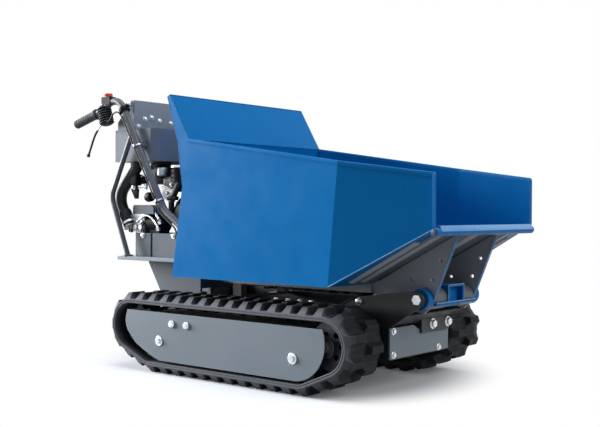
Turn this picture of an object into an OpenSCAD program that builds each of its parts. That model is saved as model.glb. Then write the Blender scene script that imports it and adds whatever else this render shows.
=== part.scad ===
// Tracked power carrier with a tipping skip. Millimetres, +X forward, +Y to its left, +Z up.
// Places along X in this file are measured from the middle of the tracks.

/* [Tracks] */
// Width of one rubber track
track_w = 180; // [160:5:200]
// Distance between the middles of the two tracks
track_gauge = 577; // [560:1:620]
// Distance between the sprocket and idler axles
axle_span = 854; // [820:2:900]
// Height of the sprocket and idler axles
axle_h = 155; // [153:1:170]
// Radius of the belt's inner face round the sprocket and idler
wheel_r = 76; // [72:1:77]
// Thickness of the belt
belt_t = 15; // [12:1:18]
// Height of a tread lug
lug_h = 22; // [16:1:26]
// Number of tread lugs in each row
lug_count = 37; // [34:1:38]
// Length of a lug at its root
lug_root = 37; // [30:1:42]
// Length of a lug at its crown
lug_crown = 28; // [20:1:34]
// Width of the plain edge outside the lugs
lug_edge = 14; // [10:1:20]
// Width of each of the two steps at a lug's outer end
lug_step = 16; // [10:1:20]
// Height of the guide horns inside the belt
horn_h = 18; // [12:1:20]
// Width of the guide horns
horn_w = 24; // [18:1:30]
// Radius of the belt's inner face under the road rollers
roller_r = 40; // [36:1:42]
// Distance from the sprocket axle to the rearmost road roller
roller_rear_inset = 97; // [96:1:110]
// Distance from the idler axle to the foremost road roller
roller_front_inset = 91; // [90:1:105]
// Radius of the roller and idler axles
axle_r = 10; // [8:0.5:12]
// Radius of the sprocket shaft
shaft_r = 14; // [12:0.5:16]
// Number of sprocket teeth
tooth_count = 8; // [7:1:9]
// Half width of the channel that carries the rollers
channel_half = 70; // [66:1:74]
// Plate thickness of the channel
channel_t = 8; // [6:1:10]
// Thickness of the side cover
cover_t = 4; // [3:0.5:6]

/* [Chassis] */
// Width over the chassis side plates
chassis_w = 320; // [310:2:330]
// Thickness of the chassis plates
plate_t = 8; // [6:1:10]
// Height of the belly plate's underside
belly_z = 102; // [95:1:110]
// Top of the chassis side plates
rail_z = 258; // [250:1:264]
// Rear end of the chassis
chassis_rear_x = -485; // [-500:1:-475]
// Front end of the chassis
chassis_front_x = 521; // [510:1:530]
// Place of the skip's hinge
hinge_x = 620; // [610:1:635]
// Height of the skip's hinge
hinge_z = 292; // [286:1:298]
// Radius of the hinge pins
hinge_pin_r = 14; // [12:0.5:16]
// Radius of the hinge arms' round ends
arm_end_r = 22; // [20:1:26]

/* [Skip] */
// Width of the skip
skip_w = 700; // [680:2:720]
// Height of the skip's flat underside
skip_floor_z = 330; // [326:1:345]
// Rear end of the flat underside
skip_rear_x = -239; // [-245:1:-230]
// Place of the fold between the tub and its chute, at the floor
fold_x = 429; // [420:1:440]
// How far the fold leans forward at the top
fold_lean = 36; // [20:1:45]
// Height of the tub's rim at the fold
fold_rim_z = 700; // [680:1:720]
// Place of the headboard's foot
head_foot_x = -166; // [-175:1:-160]
// Height of the headboard's foot
head_foot_z = 793; // [780:1:810]
// How far the headboard leans back
head_lean = 91; // [80:1:100]
// Height of the headboard's top
head_top_z = 946; // [920:1:960]
// Place of the chute's lip
lip_x = 758; // [745:1:770]
// Width over the lip
lip_w = 574; // [550:2:600]
// Height of the lip
lip_z = 507; // [495:1:515]
// Height of the rim at the lip
lip_rim_z = 661; // [645:1:675]
// Thickness of the skip's sheet
sheet_t = 3; // [2:0.5:4]
// Radius of the lip tube
lip_tube_r = 12; // [9:1:14]
// Thickness of the hinge gussets
gusset_t = 8; // [6:1:10]
// Width over the hinge gussets
gusset_w = 244; // [236:2:252]
// Radius of the hinge tube
hinge_tube_r = 32; // [30:1:34]
// Depth of the floor rails
rail_depth = 30; // [26:1:32]
// Width of the floor rails
rail_w = 28; // [24:1:32]

/* [Lift cylinder] */
// Place of the base pin
base_x = 60; // [50:1:70]
// Height of the base pin
base_z = 140; // [136:1:146]
// Place of the rod pin with the skip down
rod_x = 400; // [394:1:406]
// Height of the rod pin with the skip down
rod_z = 300; // [297:1:303]
// Outer radius of the barrel
barrel_r = 28; // [26:1:30]
// Radius of the rod
rod_r = 13; // [11:1:15]
// Radius of the pins
lift_pin_r = 10; // [8:0.5:11]
// Length of the slot that the rod pin slides in
slot_len = 38; // [37:1:44]

/* [Power unit] */
// Top of the deck
deck_z = 384; // [378:1:390]
// How far the deck reaches outside the handlebars' middles
deck_margin = 15; // [12:1:20]
// Rear end of the deck
deck_rear_x = -641; // [-660:1:-630]
// Front end of the deck
deck_front_x = -258; // [-266:1:-254]
// Height of the deck's folded edge
deck_edge = 13; // [10:1:16]
// Width over the pedestal
pedestal_w = 370; // [350:2:376]
// Height of the riser under the engine
riser_h = 86; // [80:1:92]
// Place of the engine's crankshaft
engine_x = -385; // [-395:1:-375]
// Height of the crankshaft above the riser
crank_h = 72; // [66:1:76]
// Gap from a handlebar's middle to the oil tank's side
tank_inset = 20; // [17:1:30]
// Underside of the oil tank
tank_z = 736; // [726:1:746]
// Height of the oil tank
tank_h = 120; // [110:1:130]
// Rear end of the oil tank
tank_rear_x = -697; // [-710:1:-690]
// Front end of the oil tank
tank_front_x = -475; // [-485:1:-465]
// Radius of the suction hose
hose_r = 21; // [18:0.5:22]

/* [Handlebars] */
// Distance between the handlebars
bar_gauge = 480; // [470:2:484]
// Radius of the handlebar tube
bar_r = 13; // [11:0.5:14]
// Radius of the guard tube
guard_r = 9.5; // [8:0.5:11]
// Radius of a grip
grip_r = 17; // [15.5:0.5:19]
// Length of a grip
grip_len = 128; // [110:1:132]
// Radius of the control cables
cable_r = 3; // [2.5:0.5:4]

/* [Hidden] */
$fn = 64;

// Clearances
fit = 0.05;
touch = 0.3;
belt_gap = 0.5;
over = 1;
// A bent tube's straights run this far into its bends, which are this much fuller
bend_lap = 1;
bend_swell = 0.05;

// Colours
blue = "#1e78bf";
grey = "#7e8790";
dark = "#2a2c30";
rubber = "#25272a";
steel = "#b9bcc0";
alloy = "#a9adb1";
plastic = "#1b1c1f";

// Tracks
track_y = track_gauge / 2;
roller_z = roller_r + belt_t + lug_h;
roller_last = 3;
roller_rear_x = roller_rear_inset - axle_span / 2;
roller_pitch = (axle_span - roller_rear_inset - roller_front_inset) / roller_last;
roller_groove_r = roller_r - horn_h - 6;
wheel_groove_r = wheel_r - horn_h - 6;
roller_half = channel_half - channel_t - 4;
wheel_half = 40;
groove_half = horn_w / 2 + 4;
end_boss_r = 34;
channel_top = axle_h + wheel_r - horn_h - 6;
channel_low = roller_z - 22;
channel_end = axle_span / 2 - wheel_r - 1;
cover_y = track_y + track_w / 2;
cover_low = roller_z - roller_r + 10;
cover_top = axle_h + 54;
cover_end = axle_span / 2 + 16;
cover_boss_r = 12;
cover_bolt_at = [[-208, 20], [-138, 20], [-272, -42], [319, -42]];
bolt_r = 6;
head_t = 7;
wheels = [
    [-axle_span / 2, axle_h, wheel_r],
    [roller_x(0), roller_z, roller_r],
    [roller_x(roller_last), roller_z, roller_r],
    [axle_span / 2, axle_h, wheel_r]
];
lug_pitch = loop_len(wheels, belt_t / 2) / lug_count;

// Chassis
chassis_in = chassis_w / 2 - plate_t;
cross_h = 40;
cross_d = 50;
cross_z = channel_top - 48;
cross_rear_x = -230;
cross_front_x = 350;
rest_x = -165;
rest_len = 40;

// Skip
skip_half = skip_w / 2;
lip_half = lip_w / 2;
chute_rise = (lip_z - skip_floor_z) / (lip_x - fold_x);
head_top_x = head_foot_x - head_lean;
gusset_y = gusset_w / 2;
rail_y = gusset_y - gusset_t / 2 - 2;
hinge_tube_end = chassis_in - 2;
lug_plate_t = 8;
lug_gap = 40;
lug_root_x = rod_x - 100;
slot_r = lift_pin_r + 6.5;
slot_z = rod_z - 2.3;

// Lift cylinder: its length and slope with the skip down
lift_len = norm([rod_x - base_x, rod_z - base_z]);
lift_slope = atan2(rod_z - base_z, rod_x - base_x);
barrel_len = lift_len - 80;
piston_r = barrel_r - 6;

// Power unit
riser_z = deck_z + riser_h;
riser_far = 112;
crank_z = riser_z + crank_h;
engine_near = 110;
engine_far = 118;
engine_len = 170;
block_top = riser_z + 128;
fin_count = 6;
fin_pitch = 14;
fin_size = 150;
cylinder_r = 58;
head_z = block_top + fin_count * fin_pitch;
valve_x = -590;
valve_len = 84;
valve_h = 70;
pump_r = 34;
pump_len = engine_x - engine_len / 2 - 2 - valve_x - valve_len / 2;
cover_h = 34;
pulley_y = 136;
pulley_half = 11;
engine_pulley_r = 36;
gearbox_pulley_r = 58;
input_x = chassis_rear_x + 58;
input_z = axle_h + 92;
v_belt_t = 9;
v_belt_half = 7;
crank_shaft_r = 12;

// Handlebars: points of the tube in its own upright plane, from the grip to the deck
grip_end_t = 4;
bar_y = bar_gauge / 2;
deck_w = bar_gauge + 2 * deck_margin;
tank_w = bar_gauge - 2 * tank_inset;
bar_points = [[-900, 889.5], [-770, 925], [-655, 983], [-402, 556], [-312, 498], [-284, deck_z]];
bar_bends = [60, 60, 90, 50];
guard_points = [[-582, 829], [-694, 606], [-598, deck_z]];
guard_bend = [60];
grip_slope = atan2(bar_points[1][1] - bar_points[0][1], bar_points[1][0] - bar_points[0][0]);
cable_points = [[-716, 880], [-684, 893], [-650, 936], [-612, 895], [-404, 544], [-322, 489], [-300, deck_z]];
cable_bends = [20, 30, 34, 60, 40];
cable_y = bar_y + bar_r + cable_r + touch;
wire_points = [[-706, 958], [-664, 972], [-622, 928], [-400, 566], [-309, 509], [-268, deck_z]];
wire_bends = [12, 40, 60, 40];
lever_at = [-748, 890];
lever_tip = [-834, 765];
boot_at = [-728, 942];
boot_len = 66;
boot_r = 27;
switch_at = [-714, 976];
console_depth = 97;
console_h = 110;
console_half = tank_w / 2 - 11;
console_lean = 18;
gear_lever_y = -70;
tip_lever_y = 70;
lever_rod_r = 5;
knob_r = 17;
hose_end = [-650, riser_z + 59];
hose_points = [[-588, tank_z], [-588, tank_z - 22], [-694, 606], hose_end];
hose_bends = [30, 62];
hose_y = bar_r + hose_r - bar_y;
valve_y = hose_y + valve_h / 2 + 1;
riser_near = valve_h / 2 - valve_y;

// The part's origin lies midway along its length, on the ground
front_end = lip_x + lip_tube_r;
rear_end = bar_points[0][0] - grip_end_t * cos(grip_slope) - grip_r * sin(grip_slope);
middle_x = -(front_end + rear_end) / 2;

function roller_x(i) = roller_rear_x + i * roller_pitch;

// A loop of belt round a list of wheels [x, z, radius], taken anticlockwise
function next(c, i) = c[(i + 1) % len(c)];
function wheel_gap(c, i) = [next(c, i)[0] - c[i][0], next(c, i)[1] - c[i][1]];
function leave_angle(c, i) =
    let (d = wheel_gap(c, i))
    atan2(d[1], d[0]) - acos((c[i][2] - next(c, i)[2]) / norm(d));
function meet_angle(c, i) = leave_angle(c, (i + len(c) - 1) % len(c));
function arc_turn(c, i) = (leave_angle(c, i) - meet_angle(c, i) + 720) % 360;
function arc_len(c, i, off) = (c[i][2] + off) * arc_turn(c, i) * PI / 180;
function run_len(c, i) = sqrt(pow(norm(wheel_gap(c, i)), 2) - pow(c[i][2] - next(c, i)[2], 2));
function loop_len(c, off, i = 0) =
    i == len(c) ? 0 : arc_len(c, i, off) + run_len(c, i) + loop_len(c, off, i + 1);
function rim(w, angle, off) = [w[0], w[1]] + (w[2] + off) * [cos(angle), sin(angle)];

// Place s along the loop: [point on the belt's inner face, angle of its outward normal]
function loop_at(c, s, off, i = 0) =
    let (arc = arc_len(c, i, off), run = run_len(c, i))
    let (angle = meet_angle(c, i) + s / (c[i][2] + off) * 180 / PI, out = leave_angle(c, i))
    s < arc ? [rim(c[i], angle, 0), angle]
    : s < arc + run ? [rim(c[i], out, 0) + (s - arc) * [-sin(out), cos(out)], out]
    : loop_at(c, s - arc - run, off, (i + 1) % len(c));
function lifted(at, up, along = 0) =
    at[0] + up * [cos(at[1]), sin(at[1])] + along * [-sin(at[1]), cos(at[1])];
function smooth_loop(c, off, step = 8) = [
    for (i = [0 : len(c) - 1])
        let (count = max(2, ceil(arc_turn(c, i) / step)))
        for (k = [0 : count]) rim(c[i], meet_angle(c, i) + arc_turn(c, i) * k / count, off)
];
// Blocks along the loop, root and crown lengths, standing between two heights over the inner face
function block_loop(phase, root, crown, low, high) = [
    for (k = [0 : lug_count - 1])
        let (s = (k + phase) * lug_pitch, mid = loop_at(wheels, s, belt_t / 2))
        each [
            lifted(loop_at(wheels, s - root / 2 + (s < root ? lug_count * lug_pitch : 0), belt_t / 2), low),
            lifted(mid, high, -crown / 2),
            lifted(mid, high, crown / 2),
            lifted(loop_at(wheels, s + root / 2, belt_t / 2), low),
            lifted(loop_at(wheels, s + lug_pitch / 2, belt_t / 2), low)
        ]
];

module in_frame() {
    translate([middle_x, 0, 0]) children();
}

// side 1 is the left, side -1 the right
module on_side(side) {
    if (side > 0) children();
    else mirror([0, 1, 0]) children();
}

// A side-view outline, x and z, drawn out from y0 to y1
module slab(y0, y1) {
    translate([0, y1, 0]) rotate([90, 0, 0]) linear_extrude(y1 - y0) children();
}

// A round bar across the machine
module cross_bar(x, z, y0, y1, r) {
    slab(y0, y1) translate([x, z]) circle(r);
}

module block(low, high) {
    translate(low) cube(high - low);
}

// A tube through side-view points, bent with the given radii, in the plane at y
module bent_tube(points, bends, r, y) {
    translate([0, y, 0]) rotate([90, 0, 0])
        for (i = [0 : len(points) - 2]) {
            start = i == 0 ? 0 : bend_trim(points, bends, i);
            stop = i == len(points) - 2 ? 0 : bend_trim(points, bends, i + 1);
            a = heading(points, i);
            run = norm(points[i + 1] - points[i]) - start - stop;
            from = points[i] + start * [cos(a), sin(a)];
            lap = [start > 0 ? bend_lap : 0, stop > 0 ? bend_lap : 0];
            translate([from[0], from[1], 0]) rotate([0, 90, a]) translate([0, 0, -lap[0]])
                cylinder(h = run + lap[0] + lap[1], r = r);
            if (stop > 0)
                bend(from + run * [cos(a), sin(a)], a, bend_turn(points, i + 1), bends[i], r + bend_swell);
        }
}

function heading(p, i) = atan2(p[i + 1][1] - p[i][1], p[i + 1][0] - p[i][0]);
function bend_turn(p, i) = (heading(p, i) - heading(p, i - 1) + 540) % 360 - 180;
function bend_trim(p, bends, i) = bends[i - 1] * tan(abs(bend_turn(p, i)) / 2);

module bend(at, a, turn, radius, r) {
    left = turn > 0 ? 1 : -1;
    centre = at + left * radius * [-sin(a), cos(a)];
    translate([centre[0], centre[1], 0]) rotate([0, 0, left > 0 ? a - 90 : a + 90 + turn])
        rotate_extrude(angle = abs(turn)) translate([radius, 0]) circle(r);
}

module hex_head(x, z, y0, y1, r) {
    slab(y0, y1) translate([x, z]) circle(r, $fn = 6);
}

// Chassis
module chassis_side_outline() {
    arm_root = chassis_front_x - 175;
    polygon([
        [chassis_rear_x, belly_z], [chassis_front_x, belly_z], [chassis_front_x, hinge_z - 92],
        [hinge_x + arm_end_r * 0.6, hinge_z - arm_end_r * 0.8], [hinge_x, hinge_z + arm_end_r],
        [hinge_x - 64, hinge_z + arm_end_r - 4], [arm_root + 60, hinge_z - 2], [arm_root, rail_z],
        [chassis_rear_x, rail_z]
    ]);
    translate([hinge_x, hinge_z]) circle(arm_end_r);
}

module chassis_side_holes() {
    translate([hinge_x, hinge_z]) circle(hinge_pin_r + fit);
    translate([-axle_span / 2, axle_h]) circle(shaft_r + 2);
}

module cylinder_ears() {
    for (side = [-1, 1]) on_side(side)
        slab(barrel_r + 6, barrel_r + 6 + plate_t) difference() {
            union() {
                translate([base_x - 26, belly_z + plate_t / 2]) square([52, base_z - belly_z - plate_t / 2]);
                translate([base_x, base_z]) circle(26);
            }
            translate([base_x, base_z]) circle(lift_pin_r + fit);
        }
}

// Slanted sheet between the two hinge arms
module nose_plate() {
    low = [chassis_front_x - 4, hinge_z - 90];
    high = [hinge_x - 42, hinge_z - 52];
    slab(-chassis_in - over, chassis_in + over)
        polygon([low, high, high + [-4, 5], low + [-4, 5]]);
}

// Bracket that hooks over the front plate on the left
module front_bracket() {
    block([chassis_front_x - 8, -4, hinge_z - 106], [chassis_front_x + 14, chassis_w / 2, hinge_z - 70]);
    block([chassis_front_x + plate_t - 2, -4, hinge_z - 120], [chassis_front_x + 14, chassis_w / 2, hinge_z - 70]);
}

module chassis_frame() {
    in_frame() color(dark) {
        difference() {
            union() {
                for (side = [-1, 1]) on_side(side)
                    slab(chassis_in, chassis_w / 2) difference() {
                        chassis_side_outline();
                        chassis_side_holes();
                    }
                block([chassis_rear_x, -chassis_in - over, belly_z],
                      [chassis_front_x, chassis_in + over, belly_z + plate_t]);
                for (x = [cross_rear_x, cross_front_x])
                    block([x, -track_y + channel_half, cross_z],
                          [x + cross_d, track_y - channel_half, cross_z + cross_h]);
                block([rest_x, -chassis_in - over, rail_z - plate_t],
                      [rest_x + rest_len, chassis_in + over, rail_z]);
                for (side = [-1, 1]) on_side(side)
                    block([rest_x, rail_y - rail_w / 2, rail_z - over],
                          [rest_x + rest_len, rail_y + rail_w / 2, skip_floor_z - rail_depth - touch]);
                cylinder_ears();
                nose_plate();
                front_bracket();
            }
            cross_bar(-axle_span / 2, axle_h, -chassis_w, chassis_w, shaft_r + 2);
        }
    }
}

module front_plate() {
    wide = chassis_w / 2 + 8;
    notch = 16;
    in_frame() color(grey)
        translate([chassis_front_x, 0, 0]) rotate([90, 0, 90]) linear_extrude(plate_t - 2)
            polygon([
                [-wide, belly_z + 4], [wide, belly_z + 4], [wide, hinge_z - 92 - notch],
                [-8, hinge_z - 92 - notch], [-36, hinge_z - 92], [-wide, hinge_z - 92]
            ]);
}

module pivot_pins() {
    in_frame() color(steel) {
        for (side = [-1, 1]) on_side(side) {
            cross_bar(hinge_x, hinge_z, gusset_y - gusset_t - 8, chassis_w / 2 + over, hinge_pin_r);
            hex_head(hinge_x, hinge_z, chassis_w / 2, chassis_w / 2 + 9, hinge_pin_r + 2);
        }
        cross_bar(base_x, base_z, -barrel_r - 22, barrel_r + 22, lift_pin_r);
    }
}

// Undercarriage
module channel_outline() {
    translate([-channel_end, channel_low]) square([2 * channel_end, channel_top - channel_low]);
    for (end = [-1, 1]) {
        translate([end * axle_span / 2, axle_h]) circle(end_boss_r);
        translate([end > 0 ? channel_end - over : -axle_span / 2, axle_h - end_boss_r])
            square([axle_span / 2 - channel_end + over, 2 * end_boss_r]);
    }
}

module channel_plate(y0, y1) {
    slab(y0, y1) difference() {
        channel_outline();
        for (i = [0 : roller_last]) translate([roller_x(i), roller_z]) circle(axle_r + fit);
        translate([axle_span / 2, axle_h]) circle(axle_r + fit);
        translate([-axle_span / 2, axle_h]) circle(shaft_r + fit);
    }
}

module track_frame(side) {
    in_frame() color(dark) on_side(side) {
        channel_plate(track_y - channel_half, track_y - channel_half + channel_t);
        channel_plate(track_y + channel_half - channel_t, track_y + channel_half);
        block([-channel_end, track_y - channel_half, channel_top - channel_t],
              [channel_end, track_y + channel_half, channel_top]);
    }
}

module belt_band(y0, y1, outer, inner) {
    slab(y0, y1) difference() {
        polygon(outer);
        polygon(inner);
    }
}

module track_belt(side) {
    near = track_y + track_w / 2;
    far = track_y - track_w / 2;
    plain = smooth_loop(wheels, 0);
    in_frame() color(rubber) on_side(side) {
        lug_half(near, track_y + horn_w / 2, 0, plain);
        belt_band(track_y - horn_w / 2, track_y + horn_w / 2, smooth_loop(wheels, belt_t),
                  block_loop(0.25, horn_w, horn_w - 10, 0, -horn_h));
        lug_half(far, track_y - horn_w / 2, 0.5, plain);
    }
}

// One half of the tread: a plain edge, then lugs that step up towards the middle
module lug_half(edge, middle, phase, plain) {
    way = sign(middle - edge);
    steps = [edge, edge + way * lug_edge, edge + way * (lug_edge + lug_step),
             edge + way * (lug_edge + 2 * lug_step), middle];
    rise = [0, 0.45, 0.8, 1];
    for (i = [0 : 3]) {
        y0 = min(steps[i], steps[i + 1]);
        y1 = max(steps[i], steps[i + 1]);
        if (i == 0) belt_band(y0, y1, smooth_loop(wheels, belt_t), plain);
        else belt_band(y0, y1, block_loop(phase, lug_root, lug_root - (lug_root - lug_crown) * rise[i],
                                          belt_t, belt_t + lug_h * rise[i]), plain);
    }
}

module cover_outline() {
    rear = -cover_end;
    difference() {
        union() {
            translate([rear + 170, cover_low]) square([2 * cover_end - 290, cover_top - cover_low]);
            polygon([
                [rear + 7, cover_top], [rear, axle_h + 30], [rear - 2, axle_h + 15], [rear + 2, axle_h - 3],
                [rear + 10, axle_h - 18], [rear + 28, axle_h - 37], [rear + 51, axle_h - 58],
                [rear + 93, cover_low + 29], [rear + 143, cover_low + 9], [rear + 172, cover_low],
                [rear + 180, cover_low], [rear + 180, cover_top]
            ]);
            intersection() {
                translate([axle_span / 2 - 104, cover_low + 118]) circle(118);
                translate([0, cover_low]) square([cover_end, cover_top - cover_low]);
            }
        }
        for (at = cover_bolt_at) translate([at[0], axle_h + at[1]]) circle(bolt_r + 0.4);
    }
}

module side_cover(side) {
    in_frame() color(grey) on_side(side) {
        slab(cover_y - cover_t, cover_y) cover_outline();
        for (at = cover_bolt_at)
            slab(track_y + channel_half, cover_y - cover_t) translate([at[0], axle_h + at[1]]) difference() {
                circle(cover_boss_r);
                circle(bolt_r + 0.4);
            }
    }
}

module track_bolts() {
    in_frame() color(steel) for (side = [-1, 1]) on_side(side) {
        for (i = [0 : roller_last]) axle_bolt(roller_x(i), roller_z);
        axle_bolt(axle_span / 2, axle_h);
        for (at = cover_bolt_at) {
            cross_bar(at[0], axle_h + at[1], track_y + channel_half, cover_y + over, bolt_r);
            slab(cover_y, cover_y + 2) translate([at[0], axle_h + at[1]]) circle(2 * bolt_r);
            hex_head(at[0], axle_h + at[1], cover_y + over, cover_y + 2 + head_t, 1.7 * bolt_r);
        }
    }
}

module axle_bolt(x, z) {
    cross_bar(x, z, track_y - channel_half - over, track_y + channel_half + over, axle_r);
    hex_head(x, z, track_y - channel_half - head_t, track_y - channel_half, 1.6 * axle_r);
    hex_head(x, z, track_y + channel_half, track_y + channel_half + head_t, 1.6 * axle_r);
}

module grooved_wheel(x, z, r, groove_r, half, bore) {
    slab(track_y + groove_half, track_y + half) translate([x, z]) difference() {
        circle(r);
        circle(bore);
    }
    slab(track_y - half, track_y - groove_half) translate([x, z]) difference() {
        circle(r);
        circle(bore);
    }
    slab(track_y - groove_half - over, track_y + groove_half + over) translate([x, z]) difference() {
        circle(groove_r);
        circle(bore);
    }
}

module road_roller(side, i) {
    in_frame() color(dark) on_side(side) {
        grooved_wheel(roller_x(i), roller_z, roller_r - belt_gap, roller_groove_r, roller_half - 8, axle_r + fit);
        slab(track_y - roller_half, track_y + roller_half) translate([roller_x(i), roller_z]) difference() {
            circle(2 * axle_r);
            circle(axle_r + fit);
        }
    }
}

module idler(side) {
    in_frame() color(dark) on_side(side) difference() {
        union() {
            grooved_wheel(axle_span / 2, axle_h, wheel_r - belt_gap, wheel_groove_r, wheel_half, axle_r + fit);
            slab(track_y - roller_half, track_y + roller_half) translate([axle_span / 2, axle_h]) difference() {
                circle(2 * axle_r);
                circle(axle_r + fit);
            }
        }
        for (k = [0 : 5])
            translate([axle_span / 2 + 36 * cos(60 * k), 0, axle_h + 36 * sin(60 * k)])
                cross_bar(0, 0, track_y - wheel_half - over, track_y + wheel_half + over, 9);
    }
}

// Toothed ring: flat tooth tips between round roots
module tooth_ring() {
    difference() {
        circle(wheel_r - belt_gap - touch);
        for (k = [0 : tooth_count - 1])
            rotate(360 / tooth_count * (k + 0.5)) translate([wheel_r + 4, 0]) circle(0.29 * wheel_r);
    }
}

module sprocket(side) {
    in_frame() color(steel) on_side(side) {
        for (ring = [-wheel_half, groove_half])
            slab(track_y + ring, track_y + ring + wheel_half - groove_half)
                translate([-axle_span / 2, axle_h]) tooth_ring();
        cross_bar(-axle_span / 2, axle_h, track_y - wheel_half, track_y + wheel_half, wheel_groove_r - 4);
        cross_bar(-axle_span / 2, axle_h, track_y - roller_half, track_y + roller_half, 2 * shaft_r);
        cross_bar(-axle_span / 2, axle_h, transaxle_half - 26, track_y + channel_half, shaft_r);
    }
}

transaxle_half = 120;
transaxle_r = 42;

module transaxle() {
    in_frame() color(alloy) difference() {
        union() {
            cross_bar(-axle_span / 2, axle_h, -transaxle_half, transaxle_half, shaft_r + 14);
            cross_bar(-axle_span / 2, axle_h, -transaxle_half + 40, transaxle_half - 40, transaxle_r - 2);
            slab(-50, 50) polygon([
                [-axle_span / 2 - transaxle_r + 4, axle_h], [-axle_span / 2 + transaxle_r + 30, axle_h - 38],
                [input_x + 70, input_z + 24], [input_x - 36, input_z + 24]
            ]);
            block([-axle_span / 2 - 40, -60, belly_z + plate_t], [-axle_span / 2 + 90, 60, axle_h - 30]);
            cross_bar(input_x, input_z, 0, pulley_y - pulley_half - 6, 30);
            for (k = [-36, 36]) slab(k - 3, k + 3) translate([-axle_span / 2, axle_h]) circle(transaxle_r + 2);
        }
        cross_bar(-axle_span / 2, axle_h, transaxle_half - 28, transaxle_half + over, shaft_r + fit);
        cross_bar(-axle_span / 2, axle_h, -transaxle_half - over, -transaxle_half + 28, shaft_r + fit);
        cross_bar(input_x, input_z, pulley_y - pulley_half - 50, pulley_y, crank_shaft_r + fit);
    }
}

// Power unit
module pedestal_side() {
    polygon([
        [chassis_rear_x + 4, rail_z], [deck_front_x - 12, rail_z], [deck_front_x - 12, deck_z - sheet_t],
        [deck_rear_x + 96, deck_z - sheet_t], [deck_rear_x + 96, deck_z - deck_edge - 12]
    ]);
}

module pedestal() {
    half = pedestal_w / 2;
    foot = chassis_w / 2 - plate_t;
    in_frame() color(grey) {
        for (side = [-1, 1]) on_side(side) {
            slab(half - plate_t, half) pedestal_side();
            block([chassis_rear_x + 4, foot, rail_z], [deck_front_x - 12, half - over, rail_z + plate_t]);
        }
        block([deck_front_x - 12 - plate_t, -half + over, rail_z + 20],
              [deck_front_x - 12, half - over, deck_z - sheet_t]);
    }
}

module deck_plate() {
    slot = [-axle_span / 2 - 64, engine_x + 66];
    in_frame() color(grey) difference() {
        block([deck_rear_x, -deck_w / 2, deck_z - deck_edge], [deck_front_x, deck_w / 2, deck_z]);
        block([deck_rear_x + sheet_t, -deck_w / 2 + sheet_t, deck_z - deck_edge - over],
              [deck_front_x - sheet_t, deck_w / 2 - sheet_t, deck_z - sheet_t]);
        block([slot[0], pulley_y - 18, deck_z - deck_edge], [slot[1], pulley_y + 18, deck_z + over]);
    }
}

module engine_riser() {
    split = -508;
    in_frame() color(grey) {
        folded_box([valve_x - valve_len / 2 + 34, -riser_near, deck_z], [split - 5, -60, riser_z]);
        folded_box([split + 5, -riser_near, deck_z], [engine_x + engine_len / 2 + 14, riser_far, riser_z]);
        block([split - 6, -riser_near + 8, deck_z], [split + 6, -60, deck_z + 12]);
    }
}

// A box of folded plate with no bottom
module folded_box(low, high) {
    wall = 5;
    difference() {
        block(low, high);
        block(low + [wall, wall, -over], high - [wall, wall, wall]);
    }
}

module engine_block() {
    cylinder_x = engine_x + 10;
    in_frame() color(alloy) difference() {
        union() {
            block([engine_x - engine_len / 2, -engine_near, riser_z],
                  [engine_x + engine_len / 2, engine_far - 10, riser_z + 16]);
            slab(-engine_near, engine_far - 10) {
                translate([engine_x, crank_z]) circle(crank_h - 8);
                translate([engine_x - 64, riser_z + 10]) square([128, block_top - riser_z - 10]);
            }
            cross_bar(engine_x, crank_z, engine_far - 11, engine_far, 38);
            translate([cylinder_x, 0, block_top - over]) cylinder(h = head_z - block_top + 2, r = cylinder_r);
            for (k = [0 : fin_count - 1])
                block([cylinder_x - fin_size / 2, -fin_size / 2, block_top + 6 + k * fin_pitch],
                      [cylinder_x + fin_size / 2, fin_size / 2, block_top + 11 + k * fin_pitch]);
            block([cylinder_x - 60, -52, head_z], [cylinder_x + 60, 52, head_z + 36]);
        }
        cross_bar(engine_x, crank_z, engine_far - 60, engine_far + over, crank_shaft_r + fit);
    }
}

module recoil_starter() {
    cowl_r = crank_h - 2;
    in_frame() color(plastic)
        translate([engine_x, -engine_near, crank_z]) rotate([90, 0, 0]) difference() {
            rotate_extrude() polygon([
                [0, 0], [cowl_r, 0], [cowl_r, 30], [cowl_r - 12, 46], [cowl_r / 2, 58], [0, 58]
            ]);
            for (k = [0 : 11])
                rotate(30 * k) translate([cowl_r / 2 + 4, -3, 36]) cube([cowl_r, 6, 30]);
        }
}

module muffler() {
    in_frame() color(steel) {
        difference() {
            block([engine_x - 74, 78, block_top + 12], [engine_x + 74, 168, head_z + 30]);
            block([engine_x - 71, 81, block_top + 15], [engine_x + 71, 165, head_z + 27]);
        }
        cross_bar(engine_x + 20, head_z + 18, 52, 80, 16);
        translate([engine_x - 40, 123, head_z + 29]) cylinder(h = 30, r = 14);
    }
}

module air_filter() {
    low = block_top + 24;
    in_frame() color(plastic) {
        translate([engine_x - 20, -fin_size / 2 - 62, low + 36]) difference() {
            union() {
                cylinder(h = 66, r = 50);
                translate([0, 0, 66]) cylinder(h = 8, r1 = 50, r2 = 42);
            }
            for (k = [0 : 2]) translate([0, 0, 14 + 18 * k]) rotate_extrude() translate([50, 0]) circle(3);
        }
        block([engine_x - 46, -fin_size / 2 - 84, low], [engine_x + 6, -fin_size / 2 - 2, low + 37]);
        block([engine_x - 20, -fin_size / 2 - 10, low + 4], [engine_x + 4, -cylinder_r - 2, low + 10]);
    }
}

module v_pulley(x, z, r, shaft_from) {
    for (flange = [-pulley_half, v_belt_half + touch])
        slab(pulley_y + flange, pulley_y + flange + pulley_half - v_belt_half - touch)
            translate([x, z]) circle(r + v_belt_t + 2);
    cross_bar(x, z, pulley_y - pulley_half, pulley_y + pulley_half, r - touch);
    cross_bar(x, z, shaft_from, pulley_y + pulley_half + 4, crank_shaft_r);
}

module engine_pulley() {
    in_frame() color(dark) v_pulley(engine_x, crank_z, engine_pulley_r, engine_far - 55);
}

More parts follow.
